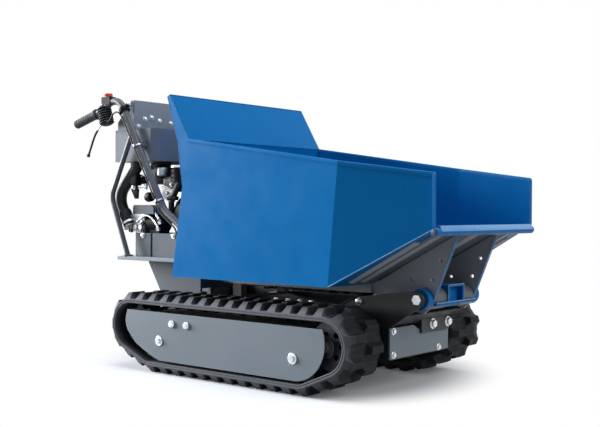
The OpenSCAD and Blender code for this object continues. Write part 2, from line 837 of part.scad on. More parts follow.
module gearbox_pulley() {
    in_frame() color(dark) v_pulley(input_x, input_z, gearbox_pulley_r, pulley_y - pulley_half - 45);
}

module drive_belt() {
    pulleys = [[input_x, input_z, gearbox_pulley_r], [engine_x, crank_z, engine_pulley_r]];
    in_frame() color(rubber)
        belt_band(pulley_y - v_belt_half, pulley_y + v_belt_half,
                  smooth_loop(pulleys, v_belt_t, 6), smooth_loop(pulleys, 0, 6));
}

// Hydraulics
module oil_tank() {
    half = tank_w / 2;
    chamfer = 24;
    lug_x = -547;
    lug_z = 800;
    in_frame() color(grey) difference() {
        union() {
            for (side = [-1, 1]) on_side(side)
                block([lug_x - 26, half - over, lug_z - 12], [lug_x + 26, bar_y, lug_z + 12]);
            tank_shell(half, chamfer);
        }
        for (side = [-1, 1]) on_side(side) bar_bore();
        tank_room();
        translate([tank_cap_x, tank_cap_y, tank_z + tank_h - 30]) cylinder(h = 40, r = 17 + fit);
    }
}

// The space for the oil, round the filler's socket
module tank_room() {
    wall = 5;
    difference() {
        block([tank_rear_x + wall, 30 + wall - tank_w / 2, tank_z + wall],
              [tank_front_x - wall, tank_w / 2 - 30 - wall, tank_z + tank_h - wall]);
        translate([tank_cap_x, tank_cap_y, tank_z + tank_h - 36]) cylinder(h = 60, r = 26);
    }
}

module tank_shell(half, chamfer) {
    translate([0, 0, tank_z]) linear_extrude(tank_h) polygon([
            [tank_rear_x, -half], [tank_front_x - chamfer, -half], [tank_front_x, -half + chamfer],
            [tank_front_x, half - chamfer], [tank_front_x - chamfer, half], [tank_rear_x, half]
        ]);
}

tank_cap_x = tank_front_x - 55;
tank_cap_y = 120;

module tank_cap() {
    in_frame() color(plastic) translate([tank_cap_x, tank_cap_y, tank_z + tank_h]) {
        translate([0, 0, -24]) cylinder(h = 25, r = 17);
        translate([0, 0, touch]) difference() {
            cylinder(h = 24, r = 27);
            for (k = [0 : 11]) rotate(30 * k) translate([28.5, 0, -over]) cylinder(h = 30, r = 4);
        }
    }
}

module hydraulic_valve() {
    low = riser_z;
    half = valve_h / 2;
    in_frame() color(alloy) {
        block([valve_x - valve_len / 2, valve_y - half, low], [valve_x + valve_len / 2, valve_y + half, low + valve_h]);
        for (dx = [-28, 0, 28])
            translate([valve_x + dx, valve_y - half, low + 22]) rotate([90, 0, 0]) cylinder(h = 9, r = 9);
        for (dx = [-30, 30], dz = [44, 60])
            translate([valve_x + dx, valve_y - half, low + dz]) rotate([90, 0, 0]) cylinder(h = 5, r = 6);
        hose_socket();
    }
}

module hydraulic_pump() {
    start = valve_x + valve_len / 2;
    in_frame() color(plastic) {
        translate([start, valve_y, riser_z + pump_r + 1]) rotate([0, 90, 0]) {
            cylinder(h = pump_len, r = pump_r);
            cylinder(h = 12, r = pump_r + 0.5);
            for (x = [22, 34, 46, 58]) translate([0, 0, x]) cylinder(h = 6, r = pump_r + 0.9);
        }
        block([start + 10, valve_y - 26, riser_z], [start + pump_len - 6, valve_y + 26, riser_z + 20]);
    }
}

module pump_cover() {
    low = riser_z + valve_h;
    in_frame() color(grey) {
        slab(valve_y - 35, valve_y + 35) polygon([
            [valve_x - 24, low], [valve_x + 92, low], [valve_x + 92, low + cover_h - 10],
            [valve_x + 80, low + cover_h], [valve_x - 18, low + cover_h], [valve_x - 24, low + cover_h - 8]
        ]);
    }
}

module suction_hose() {
    in_frame() color(rubber) bent_tube(hose_points, hose_bends, hose_r, hose_y);
}

// Where the hose plugs into the valve block, in line with the hose's last straight
module hose_socket() {
    down = (hose_end - hose_points[2]) / norm(hose_end - hose_points[2]);
    bent_tube([hose_end, hose_end + 44 * down], [], hose_r + 2, hose_y);
}

// Skip
// Half width of the chute's flat sides, which run in from the fold to the lip
function past_fold(x, z) = x - fold_x - fold_lean * (z - skip_floor_z) / (fold_rim_z - skip_floor_z);
function chute_half(x, z) =
    skip_half - (skip_half - lip_half) * past_fold(x, z) / past_fold(lip_x, lip_z);

// The tub's corners on one side, inside by t: rear, fold and lip, each low and high
function tub_corners(side, t, top, front) =
    let (rear = [skip_rear_x + t, skip_floor_z + t], fold = [fold_x, skip_floor_z + t])
    let (lip = fold + front * [lip_x - fold_x, lip_z - skip_floor_z])
    [
        for (p = [
            rear, rear + top * [head_foot_x - skip_rear_x, head_foot_z - skip_floor_z],
            fold, fold + top * [fold_lean, fold_rim_z - skip_floor_z],
            lip, lip + top * [0, lip_rim_z - lip_z]
        ])
        [p[0], side * (min(skip_half, chute_half(p[0], p[1] - t)) - t), p[1]]
    ];

module tub_solid(t, top, front) {
    polyhedron(
        points = concat(tub_corners(1, t, top, front), tub_corners(-1, t, top, front)),
        faces = [
            [0, 2, 3, 1], [2, 4, 5, 3], [6, 7, 9, 8], [8, 9, 11, 10], [0, 1, 7, 6],
            [1, 3, 9, 7], [3, 5, 11, 9], [4, 10, 11, 5], [0, 6, 8, 2], [2, 8, 10, 4]
        ]
    );
}

module skip_tub() {
    sink = 6;
    edge = 0.2;
    foot = [head_foot_x, head_foot_z];
    top = [head_top_x, head_top_z];
    wall = [sheet_t * 1.16, 0];
    lean = (head_foot_x - skip_rear_x) / (head_foot_z - skip_floor_z);
    wing_low = [skip_rear_x + lean * (640 - skip_floor_z), 640];
    in_frame() color(blue) {
        difference() {
            tub_solid(0, 1, 1);
            tub_solid(sheet_t, 1.3, 1.2);
        }
        slab(-skip_half + 2 * edge, skip_half - 2 * edge) polygon([
            foot + [edge * 3 - lean * sink, -sink], foot + [sheet_t - 3 * edge - lean * sink, -sink],
            foot + wall + [edge, edge], top + wall, top, foot + [edge, edge]
        ]);
        for (side = [-1, 1]) on_side(side)
            slab(skip_half - sheet_t + edge, skip_half - edge) polygon([
                foot + [sheet_t / 2, -edge], foot + [edge, edge], top + [edge, 0], top + [-9, -7], foot + [-43, -17],
                foot + [-36, -85], wing_low, wing_low + [sheet_t / 2, 0]
            ]);
    }
}

module lip_tube() {
    in_frame() color(blue)
        difference() {
            cross_bar(lip_x, lip_z - lip_tube_r + 2, -lip_half - 6, lip_half + 6, lip_tube_r);
            tub_solid(0, 1, 1);
        }
}

module gusset_outline() {
    top_gap = touch / 3;
    function under(x) = [x, skip_floor_z + (x - fold_x) * chute_rise - top_gap];
    polygon([
        under(fold_x), under(lip_x - 24), [hinge_x + 30, hinge_z - 4], [hinge_x + 24, hinge_z - 22],
        [hinge_x - 4, hinge_z - 45], [hinge_x - 30, hinge_z - 40], [fold_x, skip_floor_z - rail_depth]
    ]);
}

module gusset(side) {
    in_frame() color(dark) on_side(side)
        slab(gusset_y - gusset_t, gusset_y) difference() {
            gusset_outline();
            translate([hinge_x, hinge_z]) circle(hinge_tube_r + fit);
            for (at = [[-51, 54], [26, 58], [55, 116]]) translate([hinge_x + at[0], hinge_z + at[1]]) circle(6);
        }
}

module hinge_tube() {
    half = gusset_y - gusset_t;
    window = [92, 51];
    front = hinge_x + 36;
    sill = hinge_z - 12;
    in_frame() color(blue) difference() {
        union() {
            cross_bar(hinge_x, hinge_z, -hinge_tube_end, hinge_tube_end, hinge_tube_r);
            block([hinge_x - 4, -half, sill - 8], [front, half, sill]);
            block([hinge_x, -window[0] / 2, sill - 4], [front, window[0] / 2, sill + window[1]]);
        }
        block([hinge_x + hinge_pin_r + 2, -window[0] / 2 + 6, sill],
              [front + over, window[0] / 2 - 6, sill + window[1] - 6]);
        cross_bar(hinge_x, hinge_z, -hinge_tube_end - over, hinge_tube_end + over, hinge_pin_r + fit);
    }
}

module skip_subframe() {
    top = skip_floor_z - touch / 3;
    low = skip_floor_z - rail_depth;
    in_frame() color(dark) {
        for (side = [-1, 1]) on_side(side) {
            difference() {
                block([skip_rear_x + 30, rail_y - rail_w / 2, low], [fold_x, rail_y + rail_w / 2, top]);
                block([skip_rear_x + 30 - over, rail_y - rail_w / 2 + 5, low + 5],
                      [fold_x - 40, rail_y + rail_w / 2 - 5, top - 5]);
            }
            lift_lug();
        }
        for (x = [skip_rear_x + 60, 60, lug_root_x])
            block([x, -rail_y, top - 8], [x + 36, rail_y, top]);
    }
}

// Ear with the slot that the rod pin slides in as the skip rises
module lift_lug() {
    slab(lug_gap / 2, lug_gap / 2 + lug_plate_t) difference() {
        union() {
            translate([lug_root_x, skip_floor_z - 22]) square([rod_x - lug_root_x, 22 - touch]);
            translate([rod_x - 24, rod_z]) square([slot_len + 48, skip_floor_z - rod_z - touch]);
            for (x = [rod_x, rod_x + slot_len]) translate([x, slot_z]) circle(slot_r + 9);
            translate([rod_x, slot_z - slot_r - 9]) square([slot_len, 2 * slot_r + 18]);
        }
        for (x = [rod_x, rod_x + slot_len]) translate([x, slot_z]) circle(slot_r);
        translate([rod_x, slot_z - slot_r]) square([slot_len, 2 * slot_r]);
    }
}

module along_lift() {
    translate([base_x, 0, base_z]) rotate([0, 90 - lift_slope, 0]) children();
}

module lift_cylinder() {
    in_frame() color(dark) difference() {
        union() {
            along_lift() translate([0, 0, 12]) cylinder(h = barrel_len - 12, r = barrel_r);
            along_lift() translate([0, 0, barrel_len - 24]) cylinder(h = 24, r = barrel_r + 4);
            cross_bar(base_x, base_z, -barrel_r, barrel_r, 22);
        }
        cross_bar(base_x, base_z, -barrel_r - over, barrel_r + over, lift_pin_r + fit);
        along_lift() translate([0, 0, 40]) cylinder(h = barrel_len - 60, r = piston_r + fit);
        along_lift() translate([0, 0, 60]) cylinder(h = barrel_len, r = rod_r + fit);
    }
}

module lift_rod() {
    in_frame() color(steel) {
        along_lift() translate([0, 0, 44]) cylinder(h = lift_len - 44 - lift_pin_r, r = rod_r);
        along_lift() translate([0, 0, 42]) cylinder(h = 20, r = piston_r);
        cross_bar(rod_x, rod_z, -lug_gap / 2 + 2, lug_gap / 2 - 2, 20);
        cross_bar(rod_x, rod_z, -lug_gap / 2 - lug_plate_t - 4, lug_gap / 2 + lug_plate_t + 4, lift_pin_r);
    }
}

// Controls
module console() {
    low = tank_z + tank_h;
    front = tank_rear_x + console_depth;
    in_frame() color(grey) difference() {
        slab(-console_half, console_half) console_outline(front, low, 0);
        slab(-console_half + sheet_t, console_half - sheet_t) console_outline(front, low, sheet_t);
        for (y = [gear_lever_y, tip_lever_y])
            block([tank_rear_x - over, y - 9, low + 22], [front - console_lean - 8, y + 9, low + console_h]);
    }
    in_frame() color(steel)
        cross_bar(console_pivot[0], console_pivot[1], -console_half + over, console_half - over, lever_pin_r);
}

module console_outline(front, low, t) {
    polygon([
        [tank_rear_x + t, low - t / 3], [front - t, low - t / 3], [front - t, low + console_h - t],
        [front - console_lean + t, low + console_h - t], [tank_rear_x + t, low + 30 - t]
    ]);
}

lever_pin_r = 5;
console_pivot = [tank_rear_x + console_depth - 40, tank_z + tank_h + 26];

module console_lever(y, rise) {
    reach = [-70, rise];
    in_frame() color(plastic) {
        slab(y - 6, y + 6) translate(console_pivot) difference() {
            circle(12);
            circle(lever_pin_r + fit);
        }
        translate([console_pivot[0], y, console_pivot[1]]) rotate([0, atan2(reach[0], reach[1]), 0]) {
            translate([0, 0, 10]) cylinder(h = norm(reach) - 10, r = lever_rod_r);
            translate([0, 0, norm(reach)]) sphere(knob_r);
        }
    }
}

module gear_lever() {
    console_lever(gear_lever_y, 62);
}

module tip_lever() {
    console_lever(tip_lever_y, 62);
}

module handlebar(side) {
    in_frame() color(dark) on_side(side) difference() {
        union() {
            bent_tube(bar_points, bar_bends, bar_r, bar_y);
            translate([bar_points[5][0], bar_y, deck_z]) cylinder(h = 8, r = bar_r + 7);
        }
        under_deck(bar_points[5][0]);
    }
}

module bar_bore() {
    bent_tube(bar_points, bar_bends, bar_r + fit, bar_y);
}

module guard_tubes() {
    in_frame() color(dark) for (side = [-1, 1]) on_side(side) difference() {
        union() {
            bent_tube(guard_points, guard_bend, guard_r, bar_y);
            translate([guard_points[2][0], bar_y, deck_z]) cylinder(h = 6, r = guard_r + 8);
        }
        bar_bore();
        under_deck(guard_points[2][0]);
    }
}

// What is cut off a tube that stands on the deck
module under_deck(x) {
    block([x - 40, bar_y - 40, deck_z - 40], [x + 40, bar_y + 40, deck_z]);
}

module grips() {
    in_frame() color(rubber) for (side = [-1, 1]) on_side(side)
        translate([bar_points[0][0], bar_y, bar_points[0][1]]) rotate([0, 90 - grip_slope, 0]) difference() {
            union() {
                translate([0, 0, -grip_end_t]) cylinder(h = grip_len, r = grip_r);
                translate([0, 0, grip_len - grip_end_t - 10]) cylinder(h = 10, r = grip_r + 3);
            }
            cylinder(h = grip_len, r = bar_r + fit);
            for (k = [1 : 7]) translate([0, 0, k * grip_len / 9]) rotate_extrude() translate([grip_r + 1, 0]) circle(2);
        }
}

module lever_brackets() {
    in_frame() color(plastic) for (side = [-1, 1]) on_side(side) difference() {
        union() {
            translate([boot_at[0], bar_y, boot_at[1] - boot_len]) {
                cylinder(h = boot_len, r = boot_r - 5);
                for (k = [0 : 4]) translate([0, 0, 3 + k * 11]) rotate_extrude() translate([boot_r - 5, 0]) circle(5);
            }
            slab(bar_y - 11, bar_y + 11) polygon([
                lever_at + [-9, -9], lever_at + [40, -12], lever_at + [40, 22], lever_at + [-9, 9]
            ]);
        }
        bar_bore();
        slab(bar_y - 5.5, bar_y + 5.5) polygon([
            lever_at + [-40, -34], lever_at + [14, -34], lever_at + [14, 34], lever_at + [-40, 34]
        ]);
        cross_bar(lever_at[0], lever_at[1], bar_y - 12, bar_y + 12, 4 + fit);
    }
    in_frame() color(plastic) for (side = [-1, 1]) on_side(side)
        cross_bar(lever_at[0], lever_at[1], bar_y - 11, bar_y + 11, 4);
}

module steering_lever(side) {
    reach = lever_tip - lever_at;
    in_frame() color(dark) on_side(side) {
        slab(bar_y - 5, bar_y + 5) translate(lever_at) difference() {
            circle(9);
            circle(4 + fit);
        }
        translate([lever_at[0], bar_y, lever_at[1]]) rotate([0, atan2(reach[0], reach[1]), 0]) {
            translate([0, 0, 7]) cylinder(h = norm(reach) - 7, r = 4.5);
            translate([0, 0, norm(reach)]) sphere(8);
        }
    }
}

module switch_box() {
    in_frame() color(plastic) difference() {
        block([switch_at[0] - 24, -bar_y - 15, switch_at[1] - 24], [switch_at[0] + 24, -bar_y + 15, switch_at[1] + 6]);
        on_side(-1) bar_bore();
        block([switch_at[0] - 50, -bar_y - 40, switch_at[1] - 80], [switch_at[0] - 24 + 4, -bar_y + 40, switch_at[1] - 18]);
        translate([switch_at[0], -bar_y, switch_at[1] - 4]) cylinder(h = 20, r = 8 + fit);
    }
}

module stop_button() {
    in_frame() color("#d8443e") translate([switch_at[0], -bar_y, switch_at[1]]) {
        cylinder(h = 12, r = 8);
        translate([0, 0, 10]) cylinder(h = 9, r1 = 17, r2 = 14);
    }
}

module control_cables() {
    in_frame() color(rubber) on_side(-1) difference() {
        bent_tube(cable_points, cable_bends, cable_r, cable_y);
        translate([boot_at[0], bar_y, boot_at[1] - boot_len]) cylinder(h = boot_len, r = boot_r + fit);
        under_deck(cable_points[6][0]);
    }
}

chassis_frame();
front_plate();
pivot_pins();
transaxle();
pedestal();
deck_plate();
track_frame(-1);  // track_frame_r
track_frame(1);  // track_frame_l
track_belt(-1);  // track_belt_r
track_belt(1);  // track_belt_l
side_cover(-1);  // side_cover_r
side_cover(1);  // side_cover_l
track_bolts();
sprocket(-1);  // sprocket_r
sprocket(1);  // sprocket_l
idler(-1);  // idler_r
idler(1);  // idler_l
road_roller(-1, 0);  // road_roller_r1
road_roller(-1, 1);  // road_roller_r2
road_roller(-1, 2);  // road_roller_r3
road_roller(-1, 3);  // road_roller_r4
road_roller(1, 0);  // road_roller_l1
road_roller(1, 1);  // road_roller_l2
road_roller(1, 2);  // road_roller_l3
road_roller(1, 3);  // road_roller_l4
skip_tub();
lip_tube();
gusset(-1);  // gusset_r
gusset(1);  // gusset_l
hinge_tube();
skip_subframe();
lift_cylinder();
lift_rod();
engine_riser();
engine_block();
recoil_starter();
muffler();
air_filter();
engine_pulley();
gearbox_pulley();
drive_belt();
oil_tank();
tank_cap();
hydraulic_pump();
hydraulic_valve();
pump_cover();
suction_hose();
console();
gear_lever();
tip_lever();
handlebar(-1);  // handlebar_r
handlebar(1);  // handlebar_l
guard_tubes();
grips();
lever_brackets();
steering_lever(-1);  // steering_lever_r
steering_lever(1);  // steering_lever_l
switch_box();
stop_button();
control_cables();
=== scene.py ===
"""Looks of a tracked power carrier with a tipping skip, dressed over its CAD frame."""

import logging
import math
from dataclasses import dataclass
from enum import Enum
from typing import Any, Iterable, Mapping, Sequence

import bmesh
import bpy
from mathutils import Matrix, Vector


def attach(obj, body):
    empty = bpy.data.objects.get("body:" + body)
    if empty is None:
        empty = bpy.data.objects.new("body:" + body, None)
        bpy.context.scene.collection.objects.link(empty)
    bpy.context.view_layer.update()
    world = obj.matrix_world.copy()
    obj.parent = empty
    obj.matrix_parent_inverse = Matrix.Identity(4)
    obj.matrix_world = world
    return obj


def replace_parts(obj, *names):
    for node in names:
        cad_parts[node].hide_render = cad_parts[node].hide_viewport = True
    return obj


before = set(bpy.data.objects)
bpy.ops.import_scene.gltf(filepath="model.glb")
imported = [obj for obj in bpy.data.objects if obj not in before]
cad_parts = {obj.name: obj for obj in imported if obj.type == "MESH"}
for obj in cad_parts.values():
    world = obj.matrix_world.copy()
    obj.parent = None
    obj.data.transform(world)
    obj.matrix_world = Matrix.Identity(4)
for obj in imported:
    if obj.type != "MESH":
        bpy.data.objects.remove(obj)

LOG = logging.getLogger("carrier")
Point = Sequence[float]
Corner = tuple[float, float]
Tree = bpy.types.NodeTree
Socket = bpy.types.NodeSocket
Inputs = Mapping[str | int, Any]

# Sizes are in millimetres from the middle of the tracks, as in the part's source; the frame is in metres.
MM = 0.001
MIDDLE_X = 69.168523
TO_FRAME = Matrix.Scale(MM, 4) @ Matrix.Translation((MIDDLE_X, 0.0, 0.0))

AHEAD, REAR = (1, 0, 0), (-1, 0, 0)
LEFT, RIGHT = (0, 1, 0), (0, -1, 0)
UP, DOWN = (0, 0, 1), (0, 0, -1)


class Body(Enum):
    """Bodies of the frame that added pieces ride on."""

    CHASSIS = "chassis"
    SKIP = "skip"
    CYLINDER = "cylinder"
    STEER_R = "steering_lever_r"
    STEER_L = "steering_lever_l"


def linear(shade: str) -> tuple[float, float, float, float]:
    """Turns an sRGB hex colour to linear.

    Args:
        shade: Colour as "#rrggbb".

    Returns:
        Linear red, green, blue and an alpha of one.
    """
    parts = [int(shade[i:i + 2], 16) / 255 for i in (1, 3, 5)]
    r, g, b = (c / 12.92 if c <= 0.04045 else ((c + 0.055) / 1.055) ** 2.4 for c in parts)
    return r, g, b, 1.0


def per_mm(size: float) -> float:
    """Returns the texture scale whose features are about size millimetres wide."""
    return 1000.0 / size


def add_node(tree: Tree, kind: str, settings: Mapping[str, Any] | None = None,
             inputs: Inputs | None = None) -> bpy.types.Node:
    """Adds a node with its settings, and links or sets its inputs.

    Args:
        tree: Tree that takes the node.
        kind: Node type.
        settings: Attributes of the node.
        inputs: Sockets to link or values to set, by input name or number.

    Returns:
        The new node.
    """
    node = tree.nodes.new(kind)
    for key, value in (settings or {}).items():
        setattr(node, key, value)
    for key, value in (inputs or {}).items():
        if isinstance(value, Socket):
            tree.links.new(value, node.inputs[key])
        else:
            node.inputs[key].default_value = value
    return node


def fresh_tree(owner: bpy.types.Material | bpy.types.World) -> Tree:
    """Returns the emptied node tree of a material or world."""
    owner.use_nodes = True
    owner.node_tree.nodes.clear()
    return owner.node_tree


def new_object(name: str, data: bpy.types.ID) -> bpy.types.Object:
    """Returns a new object of the scene that shows data."""
    made = bpy.data.objects.new(name, data)
    bpy.context.scene.collection.objects.link(made)
    return made


# Finishes


@dataclass(frozen=True)
class Paint:
    """A material's tree and its object coordinates, with the steps that a finish is mixed by."""

    tree: Tree
    place: Socket

    def noise(self, size: float, detail: float, roughness: float = 0.5) -> Socket:
        """Makes clouds.

        Args:
            size: Width of a cloud in millimetres.
            detail: Octaves of finer cloud.
            roughness: Weight of the finer octaves.

        Returns:
            A socket with the clouds' value.
        """
        return add_node(self.tree, "ShaderNodeTexNoise", inputs={
            "Vector": self.place, "Scale": per_mm(size), "Detail": detail, "Roughness": roughness}).outputs[0]

    def ranged(self, value: Socket, start: float, stop: float, low: float = 0.0, high: float = 1.0) -> Socket:
        """Returns a value whose run from start to stop is laid on low to high."""
        return add_node(self.tree, "ShaderNodeMapRange", inputs={
            "Value": value, "From Min": start, "From Max": stop, "To Min": low, "To Max": high}).outputs[0]

    def spread(self, size: float, low: float, high: float, detail: float = 2.0) -> Socket:
        """Makes a cloudy value that runs between two numbers.

        Args:
            size: Width of a cloud in millimetres.
            low: Value in the darkest clouds.
            high: Value in the lightest clouds.
            detail: Octaves of finer cloud.

        Returns:
            The value's socket.
        """
        return self.ranged(self.noise(size, detail, 0.55), 0.3, 0.7, low, high)

    def edges(self, reach: float, amount: float, patch: float) -> Socket:
        """Finds the sharp edges, where rubbing pales a finish and, in some finishes, a highlight is painted.

        Args:
            reach: Width of the rubbed edge in millimetres.
            amount: Strongest edge colour, up to one.
            patch: Length of a patch of edge colour in millimetres.

        Returns:
            A socket that is zero on faces and up to amount along edges.
        """
        rounded = add_node(self.tree, "ShaderNodeBevel", {"samples": 4}, {"Radius": reach * MM})
        flat = add_node(self.tree, "ShaderNodeNewGeometry")
        turn = add_node(self.tree, "ShaderNodeVectorMath", {"operation": "DOT_PRODUCT"}, {
            0: rounded.outputs["Normal"], 1: flat.outputs["Normal"]})
        edge = self.ranged(turn.outputs["Value"], 0.995, 0.9)
        return add_node(self.tree, "ShaderNodeMath", {"operation": "MULTIPLY"}, {
            0: edge, 1: self.spread(patch, 0.25 * amount, amount)}).outputs[0]

    def blend(self, factor: Socket, low: str | Socket, high: str | Socket) -> Socket:
        """Mixes two hex colours or colour sockets.

        Args:
            factor: Zero gives low, one gives high.
            low: Colour or socket.
            high: Colour or socket.

        Returns:
            The mixed colour's socket.
        """
        low, high = (linear(c) if isinstance(c, str) else c for c in (low, high))
        return add_node(self.tree, "ShaderNodeMix", {"data_type": "RGBA"}, {0: factor, 6: low, 7: high}).outputs[2]

    def bump(self, height: Socket, depth: float, strength: float) -> Socket:
        """Raises the surface by a height.

        Args:
            height: Height from zero to one.
            depth: Height of one, in millimetres.
            strength: Share of the bump that shows.

        Returns:
            The raised normal's socket.
        """
        return add_node(self.tree, "ShaderNodeBump", inputs={
            "Height": height, "Distance": depth * MM, "Strength": strength}).outputs[0]


@dataclass(frozen=True)
class Finish:
    """A finish: its material's name and the record's slot that it stands for; the slot is not used here."""

    name: str
    slot: str

    def material(self) -> bpy.types.Material:
        """Returns the finish's material, made on its first use."""
        made = bpy.data.materials.get(self.name)
        if made is None:
            made = bpy.data.materials.new(self.name)
            tree = fresh_tree(made)
            paint = Paint(tree, add_node(tree, "ShaderNodeTexCoord").outputs["Object"])
            shader = add_node(tree, "ShaderNodeBsdfPrincipled", inputs=self.lay(paint))
            add_node(tree, "ShaderNodeOutputMaterial", inputs={"Surface": shader.outputs["BSDF"]})
        return made

    def lay(self, paint: Paint) -> Inputs:
        """Lays the finish's nodes.

        Args:
            paint: The material's tree and coordinates.

        Returns:
            What goes into the material's shader.
        """
        raise NotImplementedError


@dataclass(frozen=True)
class PowderCoat(Finish):
    """Baked polyester powder on steel: an even coloured skin, paler on edges from rubbing and, in some coats, from a
    painted highlight, with a faint orange peel.
    """

    shade: str
    pale: str
    edge_wear_and_highlight: str
    roughness: float
    gloss: float
    peel: float = 7.0
    wear_and_highlight_amount: float = 0.5

    def lay(self, paint: Paint) -> Inputs:
        """Lays an even colour with slow drifts, paler edges from rubbing and, in some coats, a painted highlight, and
        the peel's ripple.
        """
        coat = paint.blend(paint.spread(260.0, 0.0, 1.0, 4.0), self.shade, self.pale)
        # Orange peel is about 2 mm across, drawn coarser so that it shows at this size
        ripple = paint.noise(self.peel, 1.0)
        # The paler edges are paint thinned by rubbing, and in the pale blue and lifted grey coats a painted highlight
        return {"Base Color": paint.blend(paint.edges(2.2, self.wear_and_highlight_amount, 45.0), coat, self.edge_wear_and_highlight),
                "Roughness": paint.spread(90.0, self.roughness - 0.05, self.roughness + 0.07, 3.0),
                "Normal": paint.bump(ripple, 0.12, 0.35), "Specular IOR Level": self.gloss}


@dataclass(frozen=True)
class MouldedRubber(Finish):
    """Carbon-black rubber from a mould: matt, greyer where it has bloomed, greyer on edges from rubbing and, in some
    uses, with painted highlights, faintly pitted.
    """

    shade: str
    bloom: str
    rubbed_and_highlight: str
    roughness: float
    grain: float = 5.0
    highlight_flanks: Corner | None = None

    def lay(self, paint: Paint) -> Inputs:
        """Lays bloom in patches, greyer edges, a painted highlight on the outer flanks and the mould's pitting."""
        skin = paint.blend(paint.spread(70.0, 0.0, 1.0, 5.0), self.shade, self.bloom)
        # The outer flanks are painted paler as a highlight
        if self.highlight_flanks:
            across = add_node(paint.tree, "ShaderNodeSeparateXYZ", inputs={0: paint.place})
            out = add_node(paint.tree, "ShaderNodeMath", {"operation": "ABSOLUTE"}, {0: across.outputs["Y"]})
            flank_highlight = paint.ranged(out.outputs[0], *(y * MM for y in self.highlight_flanks))
            skin = paint.blend(flank_highlight, skin, self.rubbed_and_highlight)
        # Mould pitting is under 1 mm, drawn coarser so that it shows at this size
        pits = paint.noise(self.grain, 3.0)
        # The grey edges come from rubbing, and on the bellows' ribs they are painted highlights
        return {"Base Color": paint.blend(paint.edges(3.0, 0.8, 30.0), skin, self.rubbed_and_highlight),
                "Roughness": paint.spread(25.0, self.roughness - 0.1, self.roughness + 0.08),
                "Normal": paint.bump(pits, 0.5, 0.4), "Specular IOR Level": 0.14}


@dataclass(frozen=True)
class WrappedHose(Finish):
    """Hose rubber cured under a tape wrap: smooth black with faint rings from the tape."""

    shade: str
    bloom: str
    ring: float = 9.0

    def lay(self, paint: Paint) -> Inputs:
        """Lays soft bloom and the wrap's rings."""
        # The tape's edges lie about 3 mm apart, drawn coarser so that they show at this size
        rings = add_node(paint.tree, "ShaderNodeTexWave", {"bands_direction": "Z"}, {
            "Vector": paint.place, "Scale": per_mm(self.ring) / 20.0 * math.pi, "Distortion": 0.6})
        return {"Base Color": paint.blend(paint.spread(40.0, 0.0, 1.0, 3.0), self.shade, self.bloom),
                "Roughness": paint.spread(20.0, 0.42, 0.58),
                "Normal": paint.bump(rings.outputs[1], 0.25, 0.3), "Specular IOR Level": 0.25}


@dataclass(frozen=True)
class BareMetal(Finish):
    """Bare or plated metal: bright, with the cloudiness and tool marks that its making left."""

    shade: str
    dull: str
    roughness: float
    cloud: float
    mark: float
    depth: float

    def lay(self, paint: Paint) -> Inputs:
        """Lays clouds of duller metal, uneven polish and fine marks."""
        return {"Base Color": paint.blend(paint.spread(self.cloud, 0.0, 1.0, 4.0), self.shade, self.dull),
                "Roughness": paint.spread(self.cloud / 2, self.roughness - 0.08, self.roughness + 0.1, 3.0),
                "Normal": paint.bump(paint.noise(self.mark, 2.0), self.depth, 0.5), "Metallic": 1.0}


@dataclass(frozen=True)
class GrainedPlastic(Finish):
    """Moulded ABS with a spark-eroded grain: even colour, fine leathery pits, a soft sheen."""

    shade: str
    pale: str
    roughness: float
    grain: float
    depth: float

    def lay(self, paint: Paint) -> Inputs:
        """Lays a nearly even colour with the mould's grain."""
        # Spark grain is about 0.5 mm across, drawn coarser so that it shows at this size
        cells = add_node(paint.tree, "ShaderNodeTexVoronoi", inputs={
            "Vector": paint.place, "Scale": per_mm(self.grain)})
        return {"Base Color": paint.blend(paint.edges(1.5, 0.5, 20.0), self.shade, self.pale),
                "Roughness": paint.spread(30.0, self.roughness - 0.06, self.roughness + 0.06),
                "Normal": paint.bump(cells.outputs["Distance"], self.depth, 0.3), "Specular IOR Level": 0.06}


BLUE_COAT = PowderCoat("powder_coat_blue_gloss", "skip_paint", "#066cb2", "#0a72b9", "#8fb6e2", 0.3, 0.06)
# A pale blue for strips and beads that paint highlights along the skip's lit edges
PAINTED_HIGHLIGHT_COAT = PowderCoat("powder_coat_blue_painted_highlight", "skip_paint", "#5f9bd8", "#79aee2", "#b4cfee", 0.3, 0.2)
GREY_COAT = PowderCoat("powder_coat_grey_satin", "grey_paint", "#808b96", "#87929d", "#c3c8cd", 0.48, 0.25)
COVER_COAT = PowderCoat("powder_coat_grey_track_cover", "grey_paint", "#737e89", "#7a8590", "#c3c8cd", 0.5, 0.2)
BAY_COAT = PowderCoat("powder_coat_grey_engine_bay", "grey_paint", "#616870", "#69707a", "#b3b8be", 0.5, 0.15)
TANK_COAT = PowderCoat("powder_coat_grey_tank", "grey_paint", "#767d87", "#7e858f", "#b3b8be", 0.55, 0.12)
DARK_COAT = PowderCoat("powder_coat_black_satin", "dark_paint", "#232529", "#2d3035", "#7d828a", 0.42, 0.35)
TUBE_COAT = PowderCoat("powder_coat_graphite_tube", "dark_paint", "#53585f", "#60656d", "#a4a9b0", 0.4, 0.35)
# Grey paint made paler to paint light into the shade under the chute; its pale blue edge colour is a painted
# highlight
SHADE_LIFTED_GREY_COAT = PowderCoat("powder_coat_grey_lifted_against_shade", "gusset_paint", "#a3abb4", "#adb4bc", "#7fa6d6", 0.45, 0.3)
# The belts' outer flanks, 350 to 372 mm out, are painted paler as a highlight
TRACK_RUBBER = MouldedRubber("moulded_track_rubber", "track_rubber", "#141619", "#2c2f34", "#5d6168", 0.66,
                             highlight_flanks=(350.0, 372.0))
GRIP_RUBBER = MouldedRubber("moulded_grip_rubber", "track_rubber", "#43474d", "#4f545b", "#6a6f77", 0.7, 4.0)
